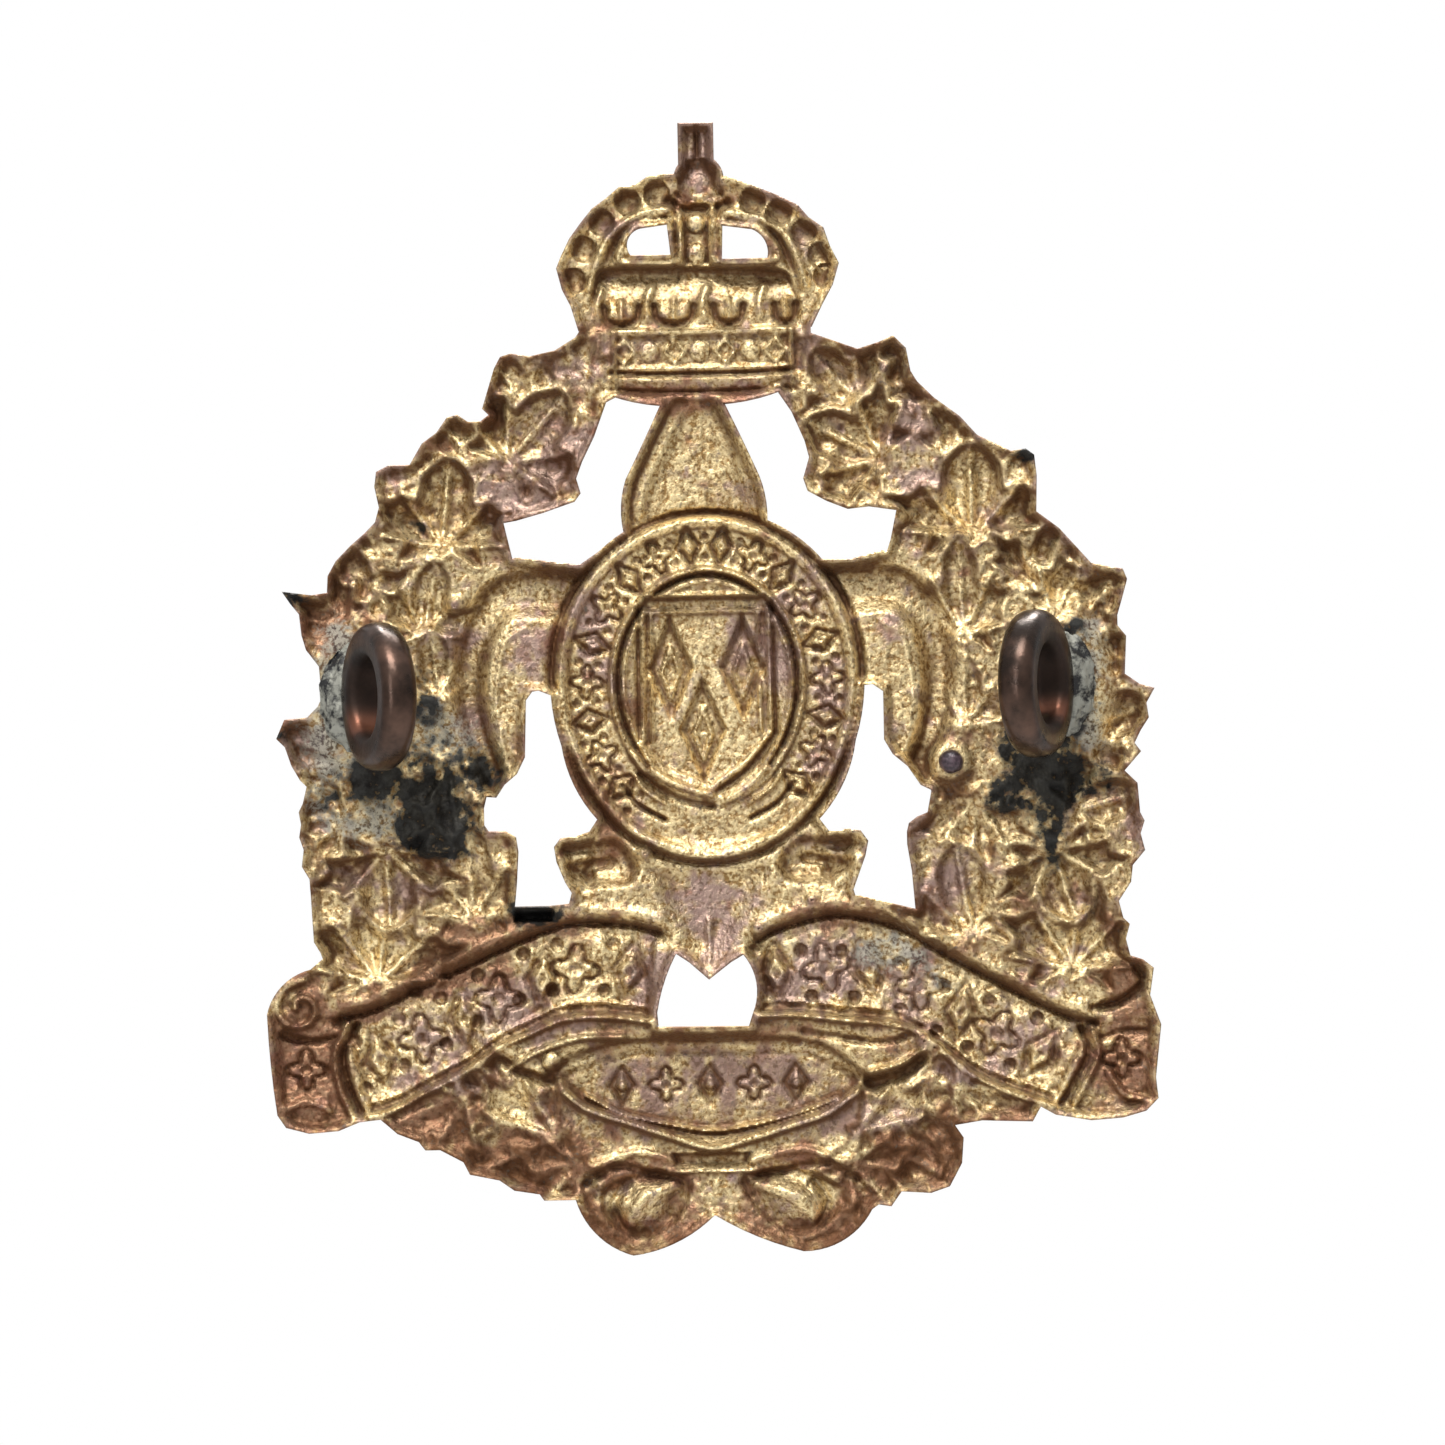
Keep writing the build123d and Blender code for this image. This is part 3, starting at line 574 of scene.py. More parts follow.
# %% Crown arches
crown_path = curve([(5.6, 17.2), (6.0, 18.4), (6.5, 20.0), (6.0, 21.4), (5.0, 22.8), (3.4, 23.9),
                    (1.6, 24.4), (-0.2, 24.5), (-2.0, 24.1), (-3.9, 23.3), (-5.4, 22.3),
                    (-6.3, 21.1), (-6.6, 20.0), (-6.2, 18.6), (-5.4, 17.2)], closed=True, n=4)
hollow(crown_path, 0.42, wall=0.3)
for path in ([(1.0, 23.0), (2.5, 22.75), (3.9, 21.9), (4.6, 20.7), (5.1, 19.2)],
             [(-1.4, 22.8), (-2.8, 22.5), (-4.1, 21.8), (-4.8, 20.6), (-5.2, 19.2)]):
    line(curve(path), 0.2, -0.35)
    line(curve(path) * (0.93, 0.985), 0.18, 0.25)
BEADS = ((1.8, 23.65), (3.2, 23.3), (4.45, 22.35), (5.35, 21.1), (5.85, 19.6), (-2.75, 23.25),
         (-4.0, 22.65), (-5.15, 21.7), (-5.95, 20.6), (-6.2, 19.6))
for x, z in BEADS:
    ball(x, z, 0.64, 0.46)
for x, top, out in ((1, 22.35, 3.35), (-1, 22.2, -3.6)):
    rim = curve([(x * 0.95, top + 0.2), (x * 0.95, 20.4), (out + x * 0.1, 20.4),
                 (out + x * 0.15, 21.2), (out * 0.75, top)], closed=True)
    line(rim, 0.16, -0.35, closed=True)
hollow(np.array([(-0.8, 23.2), (0.75, 23.2), (0.7, 20.1), (-0.8, 20.1)]), 0.85, wall=0.35)
ball(-0.05, 22.3, 0.5, -0.4, 1.1)
ball(-0.05, 20.8, 0.5, -0.4, 1.1)
line(np.array([(0.95, 23.3), (0.95, 20.2)]), 0.12, 0.3)
line(np.array([(-1.1, 23.1), (-1.1, 20.2)]), 0.12, 0.3)
line(curve([(1.2, 23.3), (0.5, 23.0), (-0.9, 23.0), (-1.5, 23.2)]), 0.25, 0.6)
print("beads on the arches:", len(BEADS))

# %% [markdown]
# ## Cap, band and finial
# The cap puffs out below the arches, so its hollow is deepened toward the top by a slope. Swags
# hang on it, the band carries four lozenges and three dots, and a small upright piece stands on
# top.

# %% Cap of the crown
cap = curve([(-3.9, 20.1), (0.0, 20.3), (4.2, 20.3), (5.0, 19.4), (5.2, 17.6), (4.9, 17.1),
             (0.0, 17.15), (-4.9, 17.1), (-5.1, 17.6), (-4.8, 19.2)], closed=True, n=4)
hollow(cap, 0.5, wall=0.3)
tilt(cap, 0.6, 17.6, 19.8)
line(curve([(-3.9, 19.7), (0.0, 19.9), (4.3, 19.85)]), 0.45, 0.3)
for x, w in ((1.1, 0.95), (-1.5, 0.7), (3.6, 0.85), (-4.2, 0.5)):
    swag = [(x - w, 18.3), (x - w * 0.8, 17.7), (x, 17.45), (x + w * 0.8, 17.7), (x + w, 18.3)]
    line(curve(swag), 0.2, 0.4)
    line(np.array([(x, 18.6), (x, 17.7)]), 0.14, -0.25)
for x in (-3.0, -0.3, 2.35, 4.7):
    line(curve([(x - 0.2, 19.2), (x, 18.6), (x, 17.9)]), 0.2, -0.28)
print("deepest point of the crown mm:", round(float(depth[window(-6, 6, 17, 24)].max()), 2))

# %% Band and finial
hollow(np.array([(-4.55, 17.0), (4.1, 17.0), (4.0, 15.3), (-4.45, 15.3)]), 0.65, wall=0.3)
BAND_MARKS = 7
for k in range(BAND_MARKS):
    x = -3.7 + k * 1.2
    if k % 2:
        ball(x, 16.15, 0.5, -0.25)
    else:
        line(lozenge(x, 16.15, 0.95, 1.15), 0.12, -0.22, closed=True)
for z, height in ((17.2, -0.2), (15.2, 0.3), (14.9, -0.15), (14.35, 0.25), (14.05, -0.12)):
    line(curve([(-4.5, z), (-2.0, z - 0.1), (1.8, z - 0.1), (4.1, z)]), 0.14, height)
for x in (-4.45, 3.95):
    line(np.array([(x, 17.0), (x, 14.4)]), 0.13, -0.3)
hollow(curve([(-0.85, 24.9), (-0.85, 26.8), (0.65, 26.8), (0.65, 24.9)], closed=True), 0.6,
       wall=0.3)
line(np.array([(-0.15, 26.9), (-0.15, 25.4)]), 0.13, 0.35)
ball(-0.2, 24.3, 1.05, 0.8)
ball(-0.2, 24.2, 0.5, -0.2)
line(curve([(0.8, 23.6), (-0.2, 23.15), (-1.2, 23.6)]), 0.2, 0.5)
print("marks on the band:", BAND_MARKS)

# %% [markdown]
# ## Scrolls
# Each scroll is a ribbon with a deep line along its upper edge. Both edges are drawn one by one,
# since the two ribbons differ, and the floor is pressed between them. The lettering is left out,
# and a row of flowers and lozenges fills its place.

# %% Scroll ribbons
RIGHT_TOP = [(2.4, -11.6), (4.0, -11.2), (6.5, -11.1), (8.0, -11.5), (10.0, -12.3), (12.0, -13.2),
             (14.0, -14.1), (16.0, -15.0), (17.6, -15.4)]
RIGHT_LOW = [(2.8, -15.8), (5.0, -15.5), (7.0, -15.6), (8.5, -16.2), (10.2, -17.0), (11.5, -17.9),
             (13.5, -18.9), (15.0, -19.7), (16.4, -20.1)]
LEFT_TOP = [(-2.3, -12.1), (-3.2, -11.6), (-5.0, -11.1), (-6.5, -10.95), (-9.0, -11.6),
            (-11.0, -12.8), (-13.0, -13.9), (-15.0, -15.0), (-17.0, -16.0), (-18.3, -16.3)]
LEFT_LOW = [(-2.0, -15.6), (-4.0, -15.6), (-6.5, -15.9), (-8.5, -16.1), (-10.0, -16.7),
            (-11.5, -17.9), (-12.5, -18.7), (-14.0, -19.4), (-16.2, -20.2)]


def scroll(top, foot, studs):
    """The ribbon between two edges, with ornament spaced along its middle."""
    upper, lower = curve(top), curve(foot)
    hollow(np.vstack([upper, lower[::-1]]), 0.85, wall=0.45)
    line(upper, 0.36, 0.5)
    line(upper + (0, 0.1), 0.13, 0.35)
    line(upper + (0, 0.75), 0.28, -0.25)
    line(lower + (0, 0.1), 0.16, -0.5)
    line(lower + (0, 0.75), 0.1, -0.16)
    for k in range(studs):
        t = (k + 0.7) / (studs + 0.4)
        a = upper[int(t * (len(upper) - 1))]
        b = lower[int(t * (len(lower) - 1))]
        x, z = (a + b) / 2 + (0, 0.15)
        lean = math.atan2(a[0] - b[0], a[1] - b[1])
        if k % 2:
            rosette(x, z, 1.15, 0.22, lean)
        else:
            line(lozenge(x, z, 1.5, 2.8, lean), 0.18, 0.22, closed=True)
            line(lozenge(x, z, 0.6, 1.2, lean), 0.16, -0.2, closed=True)
        between = (1.0 * math.cos(lean), -1.0 * math.sin(lean))
        for rise in (-1.1, 1.1):
            ball(x + between[0] + rise * math.sin(lean), z + between[1] + rise, 0.34, 0.3)


hollow(curve([(17.6, -15.2), (20.3, -15.5), (20.6, -17.5), (20.2, -20.2), (18.0, -20.4),
              (16.6, -20.0), (17.2, -18.0)], closed=True), 0.7, wall=0.35)
hollow(curve([(-18.6, -16.2), (-20.9, -15.9), (-20.9, -18.0), (-20.7, -20.1), (-19.0, -20.5),
              (-16.6, -20.2), (-17.8, -18.0)], closed=True), 0.7, wall=0.35)
SCROLL_MARKS = 7
scroll(RIGHT_TOP, RIGHT_LOW, SCROLL_MARKS)
scroll(LEFT_TOP, LEFT_LOW, SCROLL_MARKS)
print("flowers and lozenges on each scroll:", SCROLL_MARKS)

# %% [markdown]
# ## Folded ends of the scrolls
# Each ribbon folds back on itself at its outer end: the right end coils up, and the left end
# curls over. A fold is only a raised line beside a pressed one at this size, so no folded mesh is
# needed.

# %% Scroll ends
coil = []
for k in range(11):
    reach = 0.25 + 0.11 * k
    coil.append((19.5 + reach * math.cos(0.8 * k), -14.7 + reach * math.sin(0.8 * k)))
line(curve(coil), 0.17, -0.5)
line(curve([(16.9, -15.6), (17.5, -17.0), (17.2, -18.6), (16.6, -20.0)]), 0.17, 0.5)
line(curve([(17.3, -15.5), (17.95, -17.0), (17.7, -18.6), (17.1, -20.0)]), 0.17, -0.4)
rosette(19.3, -17.7, 0.95, 0.28)
line(curve([(17.9, -16.2), (19.2, -16.3), (20.4, -16.0)]), 0.2, 0.4)
line(curve([(18.2, -19.6), (19.3, -19.2), (20.3, -19.5)]), 0.2, -0.3)
line(curve([(-17.6, -16.4), (-17.9, -17.6), (-17.3, -18.8), (-16.6, -20.0)]), 0.17, 0.5)
line(curve([(-18.1, -16.4), (-18.4, -17.6), (-17.9, -18.8), (-17.2, -20.0)]), 0.17, -0.4)
line(curve([(-18.2, -15.5), (-19.4, -15.2), (-20.6, -14.3), (-20.3, -13.6)]), 0.22, 0.55)
rosette(-19.5, -17.9, 0.95, 0.28)
line(curve([(-18.6, -16.9), (-19.6, -16.6), (-20.7, -16.6)]), 0.18, 0.3)
line(curve([(-18.9, -18.6), (-19.6, -19.6), (-20.6, -19.9)]), 0.18, -0.35)
print("points in the coil:", len(coil))

# %% [markdown]
# ## Tablet
# The tablet is lens shaped, with a double rim below, and carries the same ornament as the belt.
# One smooth outline presses its floor, and lines along parts of that outline make the rims.

# %% Tablet
hollow(np.array([(-10.6, -16.2), (-3.0, -16.0), (4.0, -16.0), (10.6, -16.6), (9.6, -18.4),
                 (-9.8, -18.6)]), 0.3, wall=0.2, keep=0.3)
lens = curve([(-7.2, -18.8), (-5.5, -17.4), (-3.8, -16.95), (0.2, -16.85), (4.0, -16.85),
              (6.0, -17.4), (7.4, -18.2), (6.2, -19.7), (4.0, -20.5), (2.2, -21.1), (0.0, -21.5),
              (-2.0, -21.2), (-4.0, -20.6), (-5.6, -20.0)], closed=True)
hollow(lens, 1.1, wall=0.5)
line(curve([(-7.3, -18.8), (-5.5, -17.35), (-3.8, -16.9), (0.2, -16.85), (4.0, -16.85),
            (6.0, -17.3), (7.6, -18.1)]), 0.36, 0.6)
line(curve([(-6.9, -19.2), (-5.5, -20.2), (-4.0, -20.7), (-2.0, -21.3), (0.1, -21.75),
            (2.2, -21.1), (4.0, -20.5), (6.0, -19.8), (7.0, -19.0)]), 0.14, -0.75)
line(curve([(-5.9, -19.5), (-4.6, -20.0), (-2.0, -20.7), (0.1, -20.95), (2.2, -20.6),
            (4.4, -20.0), (6.0, -19.2)]), 0.12, -0.45)
TABLET_MARKS = (-4.0, -2.0, 0.1, 2.2, 4.3)
for k, x in enumerate(TABLET_MARKS):
    if k % 2:
        rosette(x, -18.75, 0.8, 0.22)
    else:
        line(lozenge(x, -18.75, 1.1, 1.7), 0.17, 0.24, closed=True)
        ball(x, -18.75, 0.25, -0.35)
print("marks on the tablet:", len(TABLET_MARKS))

# %% [markdown]
# ## Tie ribbon and bow
# The ribbon folds out from behind the tablet on both sides. Below it a bow of two round loops
# hangs from a knot. One loop is written once and mirrored by a sign, and its crown lifts the
# middle back up, so that it looks like a padded ribbon.

# %% Tie ribbon and bow
line(curve([(-9.9, -17.8), (-9.0, -18.5), (-7.6, -18.9)]), 0.34, 0.7)
line(curve([(-10.2, -17.2), (-9.0, -17.9), (-7.5, -18.3)]), 0.15, -0.5)
line(curve([(-9.6, -16.6), (-8.0, -16.9), (-6.0, -16.6), (-4.4, -16.3)]), 0.2, 0.3)
line(curve([(10.0, -17.4), (9.0, -18.0), (7.6, -18.5)]), 0.25, 0.5)
line(curve([(4.2, -16.4), (6.2, -16.4), (8.2, -17.0), (9.6, -17.8)]), 0.15, -0.4)
ball(7.6, -17.5, 0.5, -0.4)
line(curve([(-2.0, -15.95), (0.0, -16.1), (2.6, -15.9)]), 0.3, -0.25)
for s, cx in ((1, 3.6), (-1, -4.2)):
    loop = curve([(s * 1.0 + (cx - s * 3.8) * 0.2, -23.2), (cx - s * 0.6, -22.6),
                  (cx + s * 1.7, -23.4), (cx + s * 2.0, -24.6), (cx + s * 1.0, -25.8),
                  (cx - s * 0.4, -26.2), (cx - s * 2.0, -25.2)], closed=True)
    hollow(loop, 0.9, wall=0.45, crown=0.5)
    line(curve([(s * 2.0, -23.5), (cx - s * 0.3, -24.0), (cx + s * 0.5, -25.2)]), 0.4, -0.45)
    line(curve([(cx + s * 0.6, -23.4), (cx + s * 1.2, -24.4), (cx + s * 0.8, -25.4)]), 0.22, 0.3)
    line(curve([(s * 1.6, -22.4), (cx, -21.9), (cx + s * 2.2, -22.6)]), 0.2, -0.3)
    line(curve([(s * 2.2, -23.1), (cx + s * 1.0, -22.6), (cx + s * 2.6, -23.4)]), 0.2, 0.3)
hollow(np.array([(7.3, -10.15), (9.3, -10.15), (9.3, -10.9), (7.4, -10.9)]), 1.5, wall=0.2)
hollow(np.array([(-1.9, -21.9), (2.1, -21.9), (1.9, -22.7), (-1.7, -22.7)]), 0.75, wall=0.25)
line(np.array([(-2.1, -22.85), (2.1, -22.85)]), 0.13, -0.3)
print("deepest point of the bow mm:", round(float(depth[window(-7, 7, -26, -22)].max()), 2))

# %% [markdown]
# ## Rims, wear and metal grain
# The die leaves a flat rim round the edge of the metal, and the edge itself is slightly rounded.
# Soft relief on several scales gives the hammered grain, less of it on the plain parts. It goes
# on last, so that no punch wipes it out. The sheet is flat where the loops and the stray bead
# sit.

# %% Finish the die
PLAIN_PARTS = ((0.2, 10.5, 3.4, 3.4), (9.4, 3.0, 3.2, 3.0), (-9.6, 3.0, 3.2, 3.0),
               (0, -11, 3, 3), (0, 0, 8, 9), (0, 20, 7, 7), (0, -19, 8, 3))
plain = np.zeros_like(depth)
for x, z, rx, rz in PLAIN_PARTS:
    plain = np.maximum(plain, smooth01(1.6 - np.hypot((X - x) / rx, (Z - z) / rz)))
lumps = 0.085 * noise(1.5, 1) + 0.045 * noise(0.6, 2)
grit = 0.026 * noise(0.3, 3) + 0.022 * noise(0.16, 4)
depth += lumps * (1 - 0.9 * plain) + grit * (1 - 0.5 * plain)
FLAT_PADS = ((-16.99, 0.0, 2.4, 3.4), (16.69, 0.0, 2.4, 3.4), (-11.65, -3.6, 0.9, 0.9))
pad = np.zeros_like(depth)
for x, z, rx, rz in FLAT_PADS:
    pad = np.maximum(pad, smooth01(2.2 - 1.6 * np.hypot((X - x) / rx, (Z - z) / rz)))
depth = depth * (1 - pad)
DEEPEST = 1.5                       # the die goes no deeper than this
ROUNDING = 0.16                     # width of the rounded edge
rim = smooth01((edge - 0.05) / 0.5)
depth = np.clip(depth, -0.05, DEEPEST) * rim + 0.12 * (1 - smooth01(edge / ROUNDING)) ** 2
print("deepest point mm:", round(float(depth[metal].max()), 2))

# %% [markdown]
# ## Colour maps from the relief
# Old gilding metal is bright where it has been touched and brown where it hasn't. Paint could be
# placed by hand, but both follow from the relief: steep walls and hollows go brown, and the edges
# above them shine. Part of this is painted light: walls that face down get painted shade and walls
# that face up get a painted highlight, as under a light from above, and the brown in the hollows
# is patina and painted shade together. So the maps are computed and always fit the shape.

# %% Patina and wear, with painted shade and painted highlights
dz, dx = np.gradient(depth, PITCH)
slope = np.hypot(dx, dz)
wide = depth - blur(depth, 0.5)
fine = depth - blur(depth, 0.16)
faces_down = smooth01((-dz - 0.5) / 1.3)          # upper walls of the hollows, which face down: painted shade
faces_up = smooth01((dz - 0.1) / 0.9)
# patina in the hollows and on steep walls, with painted shade on walls that face down
brown = np.clip(0.3 * smooth01((slope - 0.7) / 1.4) + 0.4 * smooth01(wide / 0.5)
                + 0.6 * faces_down + 0.7 * smooth01(fine / 0.14) - 0.35 * faces_up, 0, 1)
# wear on raised edges, with a painted highlight on walls that face up
bright = np.clip(smooth01(-wide / 0.3) * 0.5 + smooth01(-fine / 0.05) * 0.5
                 + 0.6 * faces_up, 0, 1)
print("share brown, bright:", [round(float(f[metal].mean()), 3) for f in (brown, bright)])


def blots(spots):
    """Soft spots that add up to a stain or a painted highlight: x, z, width, height, strength."""
    stain = np.zeros_like(depth)
    for x, z, rx, rz, strength in spots:
        r = np.hypot((X - x) / rx, (Z - z) / rz)
        stain = np.maximum(stain, strength * smooth01(1.4 - r))
    return stain


# %% [markdown]
# ## Stains
# The torch left scorch and flux round the foot of each loop. Elsewhere the metal has gone plum,
# rose or plain brown in patches, and a few faces get a painted highlight. None of this follows
# from the relief, so each stain and highlight is a list of soft spots, and noise breaks up its
# edges.

# %% Scorch and flux
wobble = 0.22 * noise(1.3, 7) + 0.22 * noise(0.5, 8) + 0.12 * noise(0.22, 9)
scorch = blots((
    (12.9, -3.6, 1.5, 2.0, 0.9), (13.3, -5.8, 1.5, 1.7, 1.35), (15.4, -4.2, 2.0, 1.0, 0.8),
    (11.0, -3.6, 1.3, 1.2, 0.9), (11.6, -5.6, 1.3, 1.2, 0.6), (12.4, -7.2, 1.6, 0.5, 0.9),
    (15.6, -2.9, 1.2, 1.2, 1), (13.4, -1.0, 0.8, 2.4, 0.6), (17.0, -4.6, 1.6, 1.2, 0.5),
    (-16.4, -4.2, 1.6, 1.7, 1.4), (-16.3, -6.8, 0.6, 2.4, 0.8), (-14.8, -5.2, 1.8, 1.0, 0.7),
    (-17.6, 0.4, 0.8, 3.0, 0.7), (-15.0, -3.0, 1.1, 1.0, 0.9), (-18.4, -4.6, 1.2, 0.8, 0.5),
    (20.0, -2.0, 0.5, 0.4, 0.8), (19.7, 5.0, 0.9, 0.6, 1.6), (-15.5, 11.1, 0.6, 0.5, 1.0),
    (8.3, -10.5, 1.2, 0.5, 1.5), (9.0, -10.2, 0.8, 0.4, 0.8), (13.6, 8.0, 0.5, 0.4, 0.5),
))
flux = blots((
    (17.4, 0.8, 1.2, 2.8, 1.1), (17.5, -2.0, 1.6, 1.8, 1), (13.0, -1.8, 1.3, 1.8, 0.8),
    (11.8, -2.4, 1.3, 1.4, 0.7), (15.6, -5.6, 1.4, 1.0, 0.8), (16.6, -6.0, 1.6, 1.0, 0.7),
    (-18.2, 0.8, 0.8, 2.6, 1.0), (-18.2, -1.6, 0.9, 1.6, 0.8), (-8.5, -12.6, 1.8, 1.0, 0.6),
    (18.4, -4.4, 1.0, 1.2, 0.5), (-11.0, -14.0, 1.2, 0.8, 0.5),
))
print("scorch and flux mm2:", [round(float((f > 0.5).sum()) * PITCH ** 2, 1)
                               for f in (scorch, flux)])

# %% Plum and rose tarnish
plum = blots((
    (-0.1, 25.8, 1.0, 1.6, 1), (-0.2, 24.2, 1.0, 0.9, 0.8), (0.0, 14.0, 4.6, 0.5, 0.8),
    (6.6, 11.4, 2.6, 1.8, 0.9), (7.8, 9.6, 2.2, 1.0, 0.9), (9.4, 8.6, 1.6, 1.8, 0.8),
    (5.4, 15.2, 1.6, 0.9, 0.7), (8.3, 2.0, 1.2, 1.2, 0.9), (0.1, -10.4, 2.6, 1.8, 0.8),
    (0.1, -12.4, 1.4, 1.2, 0.7), (-1.7, 1.6, 0.8, 1.9, 0.8), (-5.6, -3.0, 1.2, 1.6, 0.8),
    (4.9, 1.4, 1.0, 2.6, 0.5), (11.2, -1.6, 0.9, 1.2, 0.8), (19.2, -2.2, 1.4, 1.2, 0.8),
    (14.0, -9.2, 1.6, 0.8, 0.8), (17.4, -8.6, 1.8, 0.6, 0.8), (-11.0, -9.6, 1.4, 1.4, 0.7),
    (-10.0, -6.9, 0.8, 0.8, 0.7), (-10.6, 9.8, 1.6, 0.8, 1.0), (-10.0, 12.2, 1.4, 0.9, 1.0),
    (-20.6, -6.4, 0.5, 1.8, 0.8), (19.3, 3.2, 0.9, 1.4, 0.6), (-15.3, -10.0, 1.2, 0.6, 0.7),
    (-5.2, -13.4, 2.6, 1.6, 0.8), (0.2, -18.6, 6.0, 1.6, 0.6), (-5.9, -0.6, 0.9, 2.6, 0.7),
    (5.6, 4.2, 1.2, 2.4, 0.5), (-3.4, 2.4, 0.7, 2.6, 0.7), (11.4, 2.4, 1.0, 1.4, 0.5),
    (2.6, -13.8, 1.6, 1.8, 0.8), (9.4, -14.6, 2.0, 1.3, 0.9), (13.4, -16.4, 1.4, 1.0, 0.7),
    (12.8, -18.6, 2.6, 0.5, 0.9), (7.4, -15.8, 2.6, 0.5, 0.9), (-9.2, -14.2, 1.6, 1.1, 0.8),
    (-14.2, -17.2, 1.6, 1.1, 0.7), (-12.4, -18.4, 2.6, 0.5, 0.8), (15.0, -9.6, 1.0, 0.6, 0.7),
    (-4.2, -11.4, 2.0, 0.4, 0.6), (6.0, -20.3, 3.0, 0.9, 0.6), (-6.6, -20.6, 3.0, 0.8, 0.7),
    (17.6, 7.0, 1.4, 1.2, 0.6),
))
rose = blots((
    (19.6, -17.4, 1.8, 3.2, 1), (19.4, -14.2, 1.8, 1.2, 0.9), (-19.6, -17.8, 1.9, 3.0, 1),
    (-20.0, -14.0, 1.2, 1.0, 0.8), (10.0, -22.0, 3.4, 1.0, 0.8), (6.8, -22.6, 1.8, 1.2, 0.8),
    (3.6, -24.9, 2.8, 1.8, 0.7), (-4.6, -26.0, 2.4, 0.7, 0.7), (-6.2, -24.8, 1.6, 1.0, 0.6),
    (-8.0, -16.9, 2.0, 0.9, 0.7), (11.5, -11.6, 2.0, 1.0, 0.7), (7.6, -11.3, 3.0, 0.5, 0.8),
    (-6.0, -10.7, 3.6, 0.6, 0.8), (-11.4, -12.6, 2.2, 0.8, 0.6), (-10.8, -23.2, 1.2, 1.0, 0.5),
    (13.6, -20.2, 2.2, 0.9, 0.6), (5.4, 13.6, 1.2, 0.7, 0.7), (6.6, 9.4, 1.0, 0.6, 0.6),
    (-18.4, -12.6, 1.4, 0.8, 0.5), (12.6, -13.0, 3.0, 0.8, 0.9), (16.6, -14.6, 2.4, 0.8, 0.8),
    (-14.6, -14.2, 2.2, 0.5, 0.7), (0.0, -16.3, 5.0, 0.5, 0.6), (8.6, -18.6, 2.2, 1.0, 0.6),
    (12.8, -21.4, 2.6, 1.0, 0.8), (-12.8, -21.2, 2.6, 1.0, 0.7), (6.6, -4.6, 0.9, 2.0, 0.8),
    (4.4, -6.6, 1.2, 1.0, 0.7), (4.6, -8.2, 1.6, 1.0, 0.6), (14.8, 10.0, 1.4, 1.2, 0.6),
    (12.4, 11.6, 1.2, 1.0, 0.5), (7.1, 3.6, 0.6, 3.0, 0.7), (0.0, 23.2, 2.6, 0.7, 0.6),
    (4.9, 17.2, 1.2, 0.8, 0.8), (17.2, 4.0, 1.6, 1.6, 0.7), (18.6, 2.6, 1.2, 1.6, 0.6),
    (3.6, -22.7, 3.2, 0.6, 0.9), (1.4, -24.6, 0.7, 1.8, 0.9), (6.1, -24.4, 0.8, 1.9, 1.0),
    (-4.2, -22.7, 3.2, 0.6, 0.9), (-1.9, -24.6, 0.7, 1.8, 0.9), (-6.6, -24.4, 0.8, 1.9, 1.0),
    (0.0, 13.9, 4.4, 0.4, 1.2), (9.0, -21.8, 4.0, 1.6, 1.2), (13.2, -20.4, 2.8, 1.2, 1.1),
    (-9.0, -22.4, 3.0, 1.2, 0.9), (3.4, -25.6, 2.8, 0.8, 1.0), (-4.0, -25.9, 2.8, 0.8, 0.9),
    (19.2, -17.6, 2.0, 3.4, 1.3), (13.8, -13.7, 3.4, 0.6, 1.1), (8.2, -11.0, 3.4, 0.5, 1.1),
))
print("plum and rose mm2:", [round(float((f > 0.5).sum()) * PITCH ** 2, 1)
                             for f in (plum, rose)])

# %% Brown film and painted highlights
tarnish = blots((
    (9.5, -21.0, 5.5, 3.0, 0.6), (-9.5, -21.6, 5.5, 2.6, 0.55), (3.6, -26.2, 3.4, 0.8, 0.7),
    (6.0, -24.8, 0.9, 2.0, 0.5), (-4.2, -26.2, 3.4, 0.8, 0.7), (-6.4, -24.8, 0.9, 2.0, 0.5),
    (0, -19.0, 7.5, 2.8, 0.38), (0, -16.2, 8.0, 0.7, 0.4), (-11.9, -4.5, 1.1, 1.2, 0.9),
    (8.0, -13.4, 2.6, 1.8, 0.2), (13.6, -17.2, 2.4, 1.6, 0.25), (-12.0, -16.4, 2.6, 1.8, 0.22),
    (12.0, -12.6, 5.0, 0.7, 0.35), (0, 18.2, 5.0, 1.2, 0.25), (0, 15.6, 5.0, 1.6, 0.12),
    (-8.6, -11.2, 3.0, 0.6, 0.35), (13.0, -9.4, 3.4, 1.2, 0.2), (-17.0, -11.0, 2.6, 1.4, 0.2),
))
# painted highlights on a few faces
painted_highlight_spots = blots((
    (9.3, -19.5, 1.3, 1.2, 0.9), (7.8, -20.9, 1.0, 0.8, 0.7), (-8.6, -20.2, 1.5, 1.0, 0.8),
    (3.7, -24.1, 1.3, 1.0, 1.0), (-4.5, -24.1, 1.3, 1.0, 1.0), (-6.2, -21.8, 1.2, 0.7, 0.6),
    (10.8, -21.0, 0.8, 0.7, 0.6), (5.0, -21.9, 0.9, 0.6, 0.5), (15.6, -12.2, 1.6, 1.4, 0.8),
    (-17.2, -12.4, 1.4, 1.4, 0.7), (13.2, 4.6, 1.6, 1.4, 0.6), (-12.9, 9.0, 1.6, 1.4, 0.6),
    (-16.6, 4.6, 1.6, 1.2, 0.6), (15.4, -9.6, 1.2, 1.2, 0.5),
))
FILM_WIDTH = 0.42                   # millimetres of dull film along every rim
film = 1 - smooth01(edge / FILM_WIDTH)
print("gleaming mm2:", round(float((painted_highlight_spots > 0.5).sum()) * PITCH ** 2, 1))

